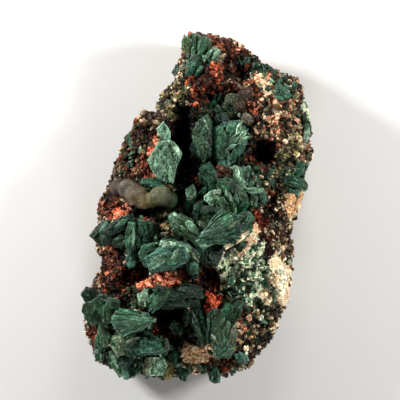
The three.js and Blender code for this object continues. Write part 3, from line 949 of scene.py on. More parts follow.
@dataclass
class Grains:
    """The fine druse that covers the rock.

    Attributes:
        count: Number of grains.
        lowest: Height above which they grow, in metres.
        lean: How far they lean away from the rock's normal.
        least, most: Smallest and largest stretch of a grain in its three directions.
        jitter: Greatest change of a corner's distance, as a share of it.
        seed: Start of the random numbers.
    """

    count: int = 23000
    lowest: float = 7 * MM
    lean: float = 0.7
    least: tuple[float, float, float] = (0.6, 0.3, 0.6)
    most: tuple[float, float, float] = (1.2, 0.8, 1.2)
    jitter: float = 0.18
    seed: int = 7

    def build(self, rock: Object, druse: DruseMap) -> list[Object]:
        """Make the angular grains and the round ones.

        Args:
            rock: The rock that they grow on.
            druse: Where each kind of druse grows.

        Returns:
            The pieces.
        """
        rng = np.random.default_rng(self.seed)
        places, normals, relief = self._scatter(rock, rng)
        kinds, tints = druse.tints(places, rng.random(len(places)))
        sizes = np.array([kind.size for kind in druse.kinds])[kinds] * MM
        rounds = rng.random(len(places)) < np.array([kind.roundness for kind in druse.kinds])[kinds]
        # Painted shade and light: grains in the hollows are darker and grains on the knobs lighter, with
        # some random spread.
        tints *= ((0.1 + 1.9 * relief ** 1.7) * rng.lognormal(-0.05, 0.3, len(tints)))[:, None]
        tints = limited(tints)
        sizes *= rng.lognormal(-0.12, 0.42, len(sizes)).clip(0.3, 1.7)
        finish = DRUSE.make()
        pieces = []
        upper = places[:, 1] > np.median(places[:, 1])
        sorts = (
            ("grains_upper", ~rounds & upper, ANGULAR_GRAIN),
            ("grains_lower", ~rounds & ~upper, ANGULAR_GRAIN),
            ("knobs", rounds, ROUND_GRAIN),
        )
        for name, chosen, form in sorts:
            pot = self._grow(form, places[chosen], normals[chosen], sizes[chosen], tints[chosen], rng)
            pieces.append(dress(pot.build(name), finish, "rock"))
        return pieces

    def _scatter(self, rock: Object, rng: Generator) -> tuple[Array, Array, Array]:
        """Choose random places on the rock's face and flanks.

        Args:
            rock: The rock.
            rng: Random numbers.

        Returns:
            The places, and the normals and the relief there.
        """
        mesh = rock.data
        areas = np.array([face.area for face in mesh.polygons])
        centres = np.array([face.center for face in mesh.polygons])
        normals = np.array([face.normal for face in mesh.polygons])
        relief = np.array([value.value for value in mesh.attributes["relief"].data])
        firsts = np.array([face.vertices[0] for face in mesh.polygons])
        wanted = areas * (centres[:, 2] > self.lowest) * np.clip(0.45 + normals[:, 2], 0.25, 1)
        picks = rng.choice(len(areas), self.count, p=wanted / wanted.sum())
        spread = rng.uniform(-0.5, 0.5, (self.count, 3)) * np.sqrt(areas[picks])[:, None]
        return centres[picks] + spread, normals[picks], relief[firsts[picks]]

    def _grow(self, form: tuple, places: Array, normals: Array, sizes: Array, tints: Array,
              rng: Generator) -> MeshPot:
        """Set one grain at each place, turned and stretched at random.

        Args:
            form: Corners and faces of a grain.
            places: Where the grains stand, in metres.
            normals: Normals of the rock there.
            sizes: Sizes of the grains in metres.
            tints: Their colours.
            rng: Random numbers.

        Returns:
            The pot that holds them.
        """
        corners, faces = np.array(form[0], float), form[1]
        count = len(places)
        upright = normals + rng.normal(0, self.lean, (count, 3))
        upright /= np.linalg.norm(upright, axis=1, keepdims=True)
        side = np.cross(upright, rng.normal(0, 1, (count, 3)))
        side /= np.linalg.norm(side, axis=1, keepdims=True)
        other = np.cross(upright, side)
        stretch = rng.uniform(self.least, self.most, (count, 3)) * sizes[:, None]
        jitter = 1 + rng.uniform(-self.jitter, self.jitter, (count, len(corners), 1))
        scaled = corners[None] * stretch[:, None] * jitter
        frames = np.stack([side, other, upright], axis=1)
        middles = places + normals * sizes[:, None] * 0.05
        points = np.einsum("gcj,gjk->gck", scaled, frames) + middles[:, None]
        steps = np.arange(count)[:, None, None] * len(corners)
        numbered = (steps + np.array(faces)[None]).reshape(-1, len(faces[0]))
        pot = MeshPot()
        pot.add(points.reshape(-1, 3), numbered.tolist(), tint=np.repeat(tints, len(corners), axis=0))
        return pot


# A small tapering blade: a four-sided foot, a wider middle and a chisel edge.
ANGULAR_GRAIN = (
    ((-0.5, -0.5, -0.5), (0.5, -0.5, -0.5), (0.5, 0.5, -0.5), (-0.5, 0.5, -0.5),
     (-0.62, -0.42, 0.2), (0.58, -0.5, 0.1), (0.5, 0.55, 0.22), (-0.5, 0.5, 0.12),
     (-0.25, -0.12, 0.62), (0.32, 0.1, 0.55)),
    ((0, 3, 2), (0, 2, 1), (0, 1, 5), (0, 5, 4), (1, 2, 6), (1, 6, 5), (2, 3, 7), (2, 7, 6),
     (3, 0, 4), (3, 4, 7), (4, 5, 9), (4, 9, 8), (5, 6, 9), (6, 7, 8), (6, 8, 9), (7, 4, 8)),
)


def round_grain() -> tuple:
    """Make the form of a twenty-sided knob.

    Returns:
        Its corners and its faces.
    """
    golden = (1 + math.sqrt(5)) / 2
    size = 0.55 / math.hypot(1, golden)
    four = [(a * size, b * golden * size, 0.0) for a in (-1, 1) for b in (-1, 1)]
    corners = (*four, *((z, x, y) for x, y, z in four), *((y, z, x) for x, y, z in four))
    edge = 2 * size * 1.01
    faces = []
    for i, j, k in combinations(range(len(corners)), 3):
        a, b, c = (Vector(corners[n]) for n in (i, j, k))
        if max((a - b).length, (b - c).length, (c - a).length) < edge:
            outward = (b - a).cross(c - a).dot(a + b + c) > 0
            faces.append((i, j, k) if outward else (i, k, j))
    return corners, tuple(faces)


ROUND_GRAIN = round_grain()


# -------- the crystals
class Habit(Enum):
    """Outlines of the crystals, from -1 to 1 across and along, counter-clockwise."""

    COFFIN = ((0, -1), (1, -0.8), (0.95, 0.4), (0.45, 1), (-0.5, 0.9), (-0.7, 0.4), (-1, -0.45),
              (-0.9, -0.95))
    TABLET = ((-0.6, -1), (0.65, -0.95), (1, 0.1), (0.7, 0.95), (-0.45, 1), (-1, 0.3))
    RHOMB = ((-0.4, -0.75), (0.35, -1), (0.95, -0.8), (0.95, -0.05), (0.05, 1), (-1, 0.15))
    LATH = ((-0.6, -1), (0.7, -0.86), (1, 0.1), (0.2, 1), (-1, 0.2))
    KITE = ((-0.3, -0.94), (0.5, -0.94), (1, 0.47), (0.65, 0.94), (-0.2, 0.82), (-1, 0.1), (-1, -0.35))
    LEAF = ((0.15, -1), (0.85, -0.45), (0.98, 0.1), (1, 0.65), (0.6, 1), (-0.25, 0.8), (-0.75, 0.4),
            (-1, 0.05), (-0.4, -0.5))
    SHIELD = ((0.12, -0.95), (0.47, -1), (0.65, -0.32), (1, 0.25), (0.76, 0.64), (0.29, 0.95),
              (-0.38, 0.85), (-1, 0), (-0.55, -0.7))
    AXE = ((-0.15, -1), (0.3, -0.7), (0.7, -0.35), (1, 0.3), (0.95, 0.65), (0.6, 1), (-0.35, 0.95),
           (-0.85, 0.75), (-1, -0.3), (-0.85, -0.65))
    SPADE = ((-0.6, -1), (0.45, -1), (0.75, -0.6), (1, 0.35), (0.4, 1), (-0.3, 0.95), (-0.9, 0.65),
             (-1, 0.1))
    SPLINTER = ((-0.5, -1), (0.6, -0.8), (1, 0.1), (0.25, 1), (-0.8, 0.4))
    PETAL = ((-0.25, -1), (0.3, -1), (0.85, 0), (0.95, 0.5), (0.5, 0.9), (-0.1, 1), (-0.7, 0.8),
             (-0.95, 0.2))
    FAN = "fan"
    SHEAF = "sheaf"

    @property
    def split(self) -> bool:
        """Whether the crystal is a spray of blades."""
        return self in SPRAYS


@dataclass(frozen=True)
class Spray:
    """How a crystal is split into blades.

    Attributes:
        count: Number of blades.
        spread: Greatest turn of a blade in degrees.
        width: Width of a blade as a share of the crystal's.
        heart: Outline of the plate under the blades.
        waist: Place that the blades turn about, from -1 at the foot to 0 at the middle.
        aside: How far the outer blades lie to the side, as a share of the crystal's half width.
    """

    count: int
    spread: float
    width: float
    heart: Habit
    waist: float
    aside: float


SPRAYS = {
    Habit.FAN: Spray(13, 30, 0.22, Habit.PETAL, -1.0, 0.0),
    Habit.SHEAF: Spray(15, 20, 0.2, Habit.COFFIN, 0.0, 0.5),
}


class Skin(Enum):
    """How a face is split into facets: their width and length in mm, unevenness in mm, tilt in degrees."""

    SMOOTH = (2.2, 5.0, 0.06, 7)
    SCALY = (0.9, 2.0, 0.11, 13)
    LINED = (0.6, 7.0, 0.05, 7)
    FLUTED = (1.4, 8.0, 0.10, 11)


@dataclass(frozen=True)
class Crystal:
    """One crystal.

    Attributes:
        u, v: Plan place of its middle.
        lift: Height of its middle above the rock in mm.
        turn: Turn of its length, anticlockwise, in degrees.
        pitch: Rise of its upper end in degrees.
        roll: Tilt about its length in degrees, left side up.
        length: Length in plan steps.
        width: Width in plan steps.
        thick: Thickness in mm.
        habit: Its outline.
        tint: Its body colour.
        pale: How pale its edges and stripes are, partly painted highlight, from 0 to 1.
        skin: How its face is split into facets.
        splay: How much the facets spread towards its upper end, from -1 to 1.
        crest: Place of its highest line across it, from -1 to 1; at random if None.
        slopes: Fall of its face to the left and right of that line in degrees; at random if None.
    """

    u: float
    v: float
    lift: float
    turn: float
    pitch: float
    roll: float
    length: float
    width: float
    thick: float
    habit: Habit
    tint: Tint
    pale: float
    skin: Skin = Skin.FLUTED
    splay: float = 0.1
    crest: float | None = None
    slopes: tuple[float, float] | None = None

    @classmethod
    def read(cls, cells: Sequence) -> "Crystal":
        """Read a crystal.

        Args:
            cells: Its attributes in their order, with the two slopes last. Those left out at the
                end keep their default.

        Returns:
            The crystal.
        """
        habit, tint, pale, skin, *rest = cells[9:]
        slopes = tuple(rest[2:]) or None
        return cls(*cells[:9], Habit[habit], Tint[tint], pale, Skin[skin], *rest[:2], slopes=slopes)

    def frame(self, ground: float) -> Matrix:
        """Return its own frame: y along it, z out of its face.

        Args:
            ground: Height of the rock below it in metres.

        Returns:
            The matrix.
        """
        x, y = PLAN.place(self.u, self.v)
        place = Matrix.Translation((x, y, ground + self.lift * MM))
        return place @ turned(self.turn, "Z") @ turned(self.pitch, "X") @ turned(self.roll, "Y")

    def half(self) -> Array:
        """Return its half width and half length in metres."""
        return np.array((self.width, self.length)) * PLAN.step / 2

    def outline(self) -> Array:
        """Return the corners of its outline in its frame, in metres."""
        return np.array(self.habit.value, float) * self.half()


def lying_on(plate: Crystal, host: Crystal, ground: float) -> Matrix:
    """Return the frame of a plate that lies on the face of a crystal.

    Args:
        plate: The plate; its lift is counted from that face and its turn is seen from above.
        host: The crystal.
        ground: Height of the rock below the crystal in metres.

    Returns:
        The matrix.
    """
    base = host.frame(ground)
    normal = base.to_3x3().col[2]
    x, y = PLAN.place(plate.u, plate.v)
    fall = (normal.x * (x - base.translation.x) + normal.y * (y - base.translation.y)) / normal.z
    place = Matrix.Translation((x, y, base.translation.z - fall + (host.thick / 2 + plate.lift) * MM))
    place = place @ base.to_3x3().to_4x4() @ turned(plate.turn - host.turn, "Z")
    return place @ turned(plate.pitch, "X") @ turned(plate.roll, "Y")


def rim_depth(places: Array, rim: Array) -> tuple[Array, Array]:
    """Return how far places lie inside an outline, and the points of it nearest to them.

    Args:
        places: Places, one row each.
        rim: Corners of the outline, counter-clockwise.

    Returns:
        The depths, below zero outside, and the nearest points.
    """
    start, side = rim, np.roll(rim, -1, axis=0) - rim
    toward = places[:, None] - start
    share = ((toward * side).sum(axis=2) / (side ** 2).sum(axis=1).clip(1e-14)).clip(0, 1)
    nearest = start + side * share[..., None]
    gaps = np.linalg.norm(places[:, None] - nearest, axis=2)
    choice = gaps.argmin(axis=1)
    rows = np.arange(len(places))
    above = start[:, 1] > places[:, 1, None]
    other = np.roll(above, -1, axis=1)
    rise = np.where(side[:, 1] == 0, 1e-12, side[:, 1])
    slant = start[:, 0] + (places[:, 1, None] - start[:, 1]) * side[:, 0] / rise
    inside = ((above != other) & (places[:, 0, None] < slant)).sum(axis=1) % 2 == 1
    return np.where(inside, 1, -1) * gaps[rows, choice], nearest[rows, choice]


@dataclass
class PlateStack:
    """Builds a crystal as a stack of thin plates with ragged rims.

    Attributes:
        pot: Pot that takes the plates.
        rng: Random numbers.
        thinnest: Least thickness of a plate in metres.
        thickest: Greatest thickness of a plate in metres.
        tooth: Height of the teeth of a rim in metres.
        gap: Distance between the points of a rim in metres.
        bevel: Width of the pale rim in metres.
        slip: How far a plate may lie to the side of the one above, in metres.
        twist: How far a plate may turn against the one above, in degrees.
        cell: Width of the cells of a face in metres.
        root: How far a crystal reaches into the rock, in metres.
        fall: How far the rim of a face falls, in metres.
        dip: How far the middle of a plate may rise or fall, in metres.
        crest: Width of the rounded crest of a face, in metres.
        left, right: Least and greatest fall of a face to each side in degrees, if its crystal has none.
        layers: Coarse to fine facets of a face: size, weight, and paleness of the palest, a painted glint.
        most: Greatest number of facets of a layer.
        line: Width of the lines between the facets of the coarsest layer, in mm.
        relief: Share of their rise and tilt that the facets take.
        contrast: How much the facets differ in brightness.
        pale, cracked, glinting: Range of a facet's lot, from 0 to 1, that gives it pale lines, dark
        lines or a pale face, the pale face being a painted glint.
    """

    pot: MeshPot
    rng: Generator
    thinnest: float = 0.35 * MM
    thickest: float = 0.85 * MM
    tooth: float = 0.2 * MM
    gap: float = 0.8 * MM
    bevel: float = 0.35 * MM
    slip: float = 0.22 * MM
    twist: float = 1.6
    cell: float = 0.34 * MM
    root: float = 1.6 * MM
    fall: float = 0.15 * MM
    dip: float = 0.12 * MM
    crest: float = 0.3 * MM
    left: tuple[float, float] = (2, 12)
    right: tuple[float, float] = (6, 24)
    layers: tuple = ((1.0, 1.0, 0.0), (0.4, 0.6, 0.6), (0.18, 0.55, 0.9))
    most: int = 420
    line: float = 0.35
    relief: float = 0.7
    contrast: float = 0.28
    pale: tuple[float, float] = (0.0, 0.25)
    cracked: tuple[float, float] = (0.4, 0.7)
    glinting: tuple[float, float] = (0.9, 1.0)

    def _rim(self, corners: Array) -> Array:
        """Add points between the corners of an outline, and shake all a little.

        Args:
            corners: Outline in metres, one row each.

        Returns:
            The finer outline.
        """
        after = np.roll(corners, -1, axis=0)
        points = []
        for start, end in zip(corners, after):
            count = max(1, round(float(np.linalg.norm(end - start)) / self.gap))
            shares = np.arange(count)[:, None] / count
            side = start + (end - start) * shares
            outward = np.array([end[1] - start[1], start[0] - end[0]])
            outward = outward / max(float(np.linalg.norm(outward)), 1e-9)
            teeth = self.rng.uniform(-1, 0.6, (count, 1)) * self.tooth
            teeth[0] *= 0.4
            points.append(side + outward * teeth)
        return np.concatenate(points)

    def add_stack(self, place: Matrix, corners: Array, top: float, bottom: float, body: float,
                  crystal: Crystal) -> None:
        """Add one stack.

        Args:
            place: Frame of the stack.
            corners: Outline in metres, one row each.
            top: Height of its face in the frame.
            bottom: Height of its lowest plate.
            body: Height that its full width goes down to; below it the stack narrows.
            crystal: The crystal that it is part of.
        """
        level, rng = top, self.rng
        drift, turn = np.zeros(2), 0.0
        seed = rng.uniform(-40, 40, 3)
        shade = rng.uniform(0.85, 1.15)
        while level > bottom:
            thick = rng.uniform(self.thinnest, self.thickest)
            depth = (top - level) / max(top - body, 1e-6)
            size = min(1.0, 0.84 + 0.3 * depth) if depth < 1 else max(0.7, 1 - 0.12 * (depth - 1))
            size *= 1 + rng.uniform(-0.05, 0.04)
            turn = turn * 0.8 + rng.uniform(-self.twist, self.twist)
            drift = drift * 0.8 + rng.uniform(-1, 1, 2) * self.slip
            c, s = math.cos(math.radians(turn)), math.sin(math.radians(turn))
            rim = self._rim(corners * size) @ np.array([[c, s], [-s, c]]) + drift
            self._add_layer(place, rim, level, thick, (top, bottom), crystal, shade, seed)
            level -= thick * 0.97

    def add_face(self, place: Matrix, corners: Array, top: float, floor: float, crystal: Crystal,
                 cell: float) -> None:
        """Cover a crystal with a low roof that is split into facets.

        Args:
            place: Frame of the crystal.
            corners: Outline in metres, one row each.
            top: Height of its crest in the frame.
            floor: Height that the skirt of the face goes down to.
            crystal: The crystal.
            cell: Width of the cells of the face.
        """
        rim = self._rim(corners)
        low, high = rim.min(axis=0) - cell / 2, rim.max(axis=0) + cell
        across, along = (np.arange(start, stop + cell, cell) for start, stop in zip(low, high))
        flat = np.stack(np.meshgrid(across, along, indexing="ij"), -1).reshape(-1, 2)
        depth, nearest = rim_depth(flat, rim)
        first = (np.arange(len(across) - 1)[:, None] * len(along) + np.arange(len(along) - 1)).ravel()
        quads = np.stack((first, first + len(along), first + len(along) + 1, first + 1), axis=1)
        quads = quads[(depth[quads] > 0).any(axis=1)]
        if not len(quads):
            return
        flat = np.where(depth[:, None] > 0, flat, nearest)
        depth = depth.clip(0)
        height, tone, pale, crack = self._facets(flat, crystal)
        rounding = (1 - (depth / self.bevel).clip(0, 1)) ** 2
        height = top + height - rounding * self.fall
        # Pale rim and pale lines: partly the plate edges' own paler colour, partly painted highlight.
        edge = (rounding * pale.clip(0.15, 1) + 0.6 * pale * (depth > 0)).clip(0, 1) * crystal.pale
        sides = np.concatenate([quads[:, (k, (k + 1) % 4)] for k in range(4)])
        keys = np.sort(sides, axis=1) @ np.array((len(flat), 1))
        _, place_of, times = np.unique(keys, return_index=True, return_counts=True)
        border = sides[place_of[times == 1]]
        used, numbers = np.unique(quads, return_inverse=True)
        numbers = numbers.reshape(quads.shape)
        lookup = np.zeros(len(flat), int)
        lookup[used] = np.arange(len(used))
        skirt = np.unique(border)
        under = np.zeros(len(flat), int)
        under[skirt] = len(used) + np.arange(len(skirt))
        walls = np.stack((lookup[border[:, 1]], lookup[border[:, 0]], under[border[:, 0]],
                          under[border[:, 1]]), axis=1)
        local = np.concatenate((np.column_stack((flat[used], height[used])),
                                np.column_stack((flat[skirt], np.full(len(skirt), floor)))))
        matrix = np.array(place)
        tones = np.concatenate((tone[used], tone[skirt]))
        self.pot.add(local @ matrix[:3, :3].T + matrix[:3, 3], np.concatenate((numbers, walls)),
                     tint=np.array(crystal.tint.value) * tones[:, None],
                     edge=np.concatenate((edge[used], edge[skirt] * 0.5)),
                     deep=np.concatenate((crack[used], np.full(len(skirt), 0.6))),
                     local=local / MM + self.rng.uniform(-40, 40, 3))

    def _facets(self, flat: Array, crystal: Crystal) -> tuple[Array, ...]:
        """Split a face into facets of several sizes.

        Args:
            flat: Places of the face in metres, one row each.
            crystal: The crystal.

        Returns:
            Its height in metres, its brightness, its pale lines and painted glints, and its cracks at each
            place.
        """
        rng = self.rng
        wide, long, uneven, tilt = crystal.skin.value
        middle, half = (flat.min(axis=0) + flat.max(axis=0)) / 2, np.ptp(flat, axis=0) / 2
        share = (flat - middle) / half
        places = (flat - middle) / MM
        places[:, 0] /= (1 + crystal.splay * share[:, 1]).clip(0.25)
        places[:, 0] += rng.uniform(-0.08, 0.08) * half[0] / MM * share[:, 1] ** 2
        crest = (rng.uniform(-0.5, 0.5) if crystal.crest is None else crystal.crest) * half[0]
        slopes = crystal.slopes or (rng.uniform(*self.left), rng.uniform(*self.right))
        left, right = (math.tan(math.radians(slope)) for slope in slopes)
        reach = flat[:, 0] - middle[0] - crest
        bent = np.sqrt(reach ** 2 + self.crest ** 2) - self.crest
        height = -(left + right) / 2 * bent - (right - left) / 2 * reach
        height -= rng.uniform(0, 0.08) * half[1] * share[:, 1] ** 2
        tone = rng.lognormal(0, 0.1) * (1 + share @ rng.normal(0, 0.28, 2)).clip(0.4, 1.8)
        pale, crack = np.zeros(len(flat)), np.zeros(len(flat))
        for scale, weight, glint in self.layers:
            size = np.array((wide, long)) * scale
            count = int(np.clip(4 * half[0] * half[1] / MM ** 2 / (size[0] * size[1]), 2, self.most))
            seeds = rng.uniform(-1, 1, (count, 2)) * half / MM
            gaps = np.linalg.norm((places[:, None] - seeds) / size, axis=2)
            order = np.argpartition(gaps, 1, axis=1)[:, :2]
            near = np.take_along_axis(gaps, order, axis=1)
            own = np.where(near[:, 0] <= near[:, 1], order[:, 0], order[:, 1])
            border = (1 - np.abs(near[:, 1] - near[:, 0]) * size[0] / (self.line * scale ** 0.3)).clip(0, 1)
            slope = np.tan(np.radians(rng.normal(0, tilt, (count, 2)))) * (1, 0.4) * weight
            rise = rng.normal(0, uneven, count) * weight
            height += (rise[own] + ((places - seeds[own]) * slope[own]).sum(axis=1)) * MM * self.relief
            tone *= rng.lognormal(0, self.contrast * weight, count)[own]
            lot = rng.random(count)[own]
            lined, cracked, glinting = ((lot > low) & (lot < high)
                                        for low, high in (self.pale, self.cracked, self.glinting))
            pale = np.maximum(pale, border * lined * weight)
            # Painted glint: a few facets are made pale all over.
            pale = np.maximum(pale, glint * glinting)
            crack = np.maximum(crack, border * cracked * 0.7 * weight)
        return height, tone, pale, crack

    def _add_layer(self, place: Matrix, rim: Array, level: float, thick: float,
                   span: tuple[float, float], crystal: Crystal, shade: float, seed: Array) -> None:
        """Add one plate of a stack: its face with a bevel, its side and its underside.

        Args:
            place: Frame of the stack.
            rim: Its outline in metres, one row each.
            level: Height of its face in the frame.
            thick: Its thickness in metres.
            span: Heights of the top and the bottom of the stack.
            crystal: The crystal that it is part of.
            shade: Brightness of the stack.
            seed: Place of the stack in the pattern of its stripes.
        """
        rng = self.rng
        count = len(rim)
        middle = rim.mean(axis=0)
        reach = np.linalg.norm(rim - middle, axis=1, keepdims=True).clip(1e-6)
        inner = rim + (middle - rim) * np.minimum(self.bevel * rng.uniform(0.7, 1.3) / reach, 0.45)
        heart = rim + (middle - rim) * 0.55
        dip = rng.uniform(-1, 1) * self.dip
        # Each ring's paleness: palest at the rim, partly painted highlight on the plate's edge.
        rings = (
            (heart, level + dip, 0.0), (inner, level, 0.1), (rim, level - 0.1 * MM, 1.0),
            (rim * 1.004, level - thick, 0.35),
        )
        blocks, edges = [], []
        for flat, height, edge in rings:
            blocks.append(np.column_stack((flat, np.full(count, height))))
            edges.append(np.full(count, edge * crystal.pale * rng.uniform(0.7, 1.2)))
        local = np.concatenate(blocks)
        matrix = np.array(place)
        points = local @ matrix[:3, :3].T + matrix[:3, 3]
        faces = [list(range(count)), list(range(4 * count - 1, 3 * count - 1, -1))]
        for ring in range(3):
            for k in range(count):
                after = (k + 1) % count
                faces.append((ring * count + k, (ring + 1) * count + k,
                              (ring + 1) * count + after, ring * count + after))
        top, bottom = span
        # Painted shade: the lower plates of the stack are darker.
        deep = np.clip((top - local[:, 2]) / (top - bottom), 0, 1)
        tint = np.array(crystal.tint.value) * shade * rng.uniform(0.88, 1.1)
        self.pot.add(points, faces, tint=np.tile(tint, (len(local), 1)), edge=np.concatenate(edges),
                     deep=deep, local=local / MM + seed)

    def add_plate(self, plate: Crystal, place: Matrix, cell: float) -> None:
        """Add one thin plate or small blade.

        Args:
            plate: The plate.
            place: Its frame.
            cell: Width of the cells of its face in metres.
        """
        top = plate.thick * MM / 2
        self.add_face(place, plate.outline(), top, -top, plate, cell)

    def add_crystal(self, crystal: Crystal, ground: float) -> None:
        """Add one crystal, whole or split into blades.

        Args:
            crystal: The crystal.
            ground: Height of the rock below it in metres.
        """
        place = crystal.frame(ground)
        thick = crystal.thick * MM
        bottom = min(-crystal.lift * MM - self.root, -thick / 2)
        if crystal.habit.split:
            self._add_spray(place, crystal, bottom)
            return
        corners = crystal.outline()
        self.add_stack(place, corners, -0.05 * thick, bottom, -thick / 2, crystal)
        self.add_face(place, corners, thick / 2, -0.15 * thick, crystal, self.cell)

    def _add_spray(self, place: Matrix, crystal: Crystal, bottom: float) -> None:
        """Add a crystal that is split into blades, over a plate that fills it.

        Args:
            place: Frame of the crystal.
            crystal: The crystal.
            bottom: Height of its lowest plate in the frame.
        """
        rng = self.rng
        spray, half, thick = SPRAYS[crystal.habit], crystal.half(), crystal.thick * MM
        heart = np.array(spray.heart.value, float) * half * 0.8
        self.add_stack(place, heart, -0.1 * thick, bottom, -thick / 2, crystal)
        foot = Matrix.Translation((0, spray.waist * half[1], 0))
        for share in rng.permutation(np.linspace(-1, 1, spray.count)):
            turn = share * spray.spread + rng.uniform(-2, 2)
            width = spray.width * rng.uniform(0.8, 1.3)
            size = half * (width, (1 - 0.18 * share ** 2) * rng.uniform(0.86, 1.04))
            top = thick / 2 - thick * rng.uniform(0.1, 0.4) * abs(share) - rng.uniform(0, 0.12) * thick
            tilt = share * 12 + rng.uniform(-9, 9)
            aside = Matrix.Translation((-share * half[0] * spray.aside, -spray.waist * size[1], 0))
            blade = place @ foot @ turned(-turn, "Z") @ aside @ turned(tilt, "Y")
            corners = np.array(Habit.LATH.value, float) * size
            self.add_face(blade, corners, top, top - 0.55 * thick, crystal, self.cell)


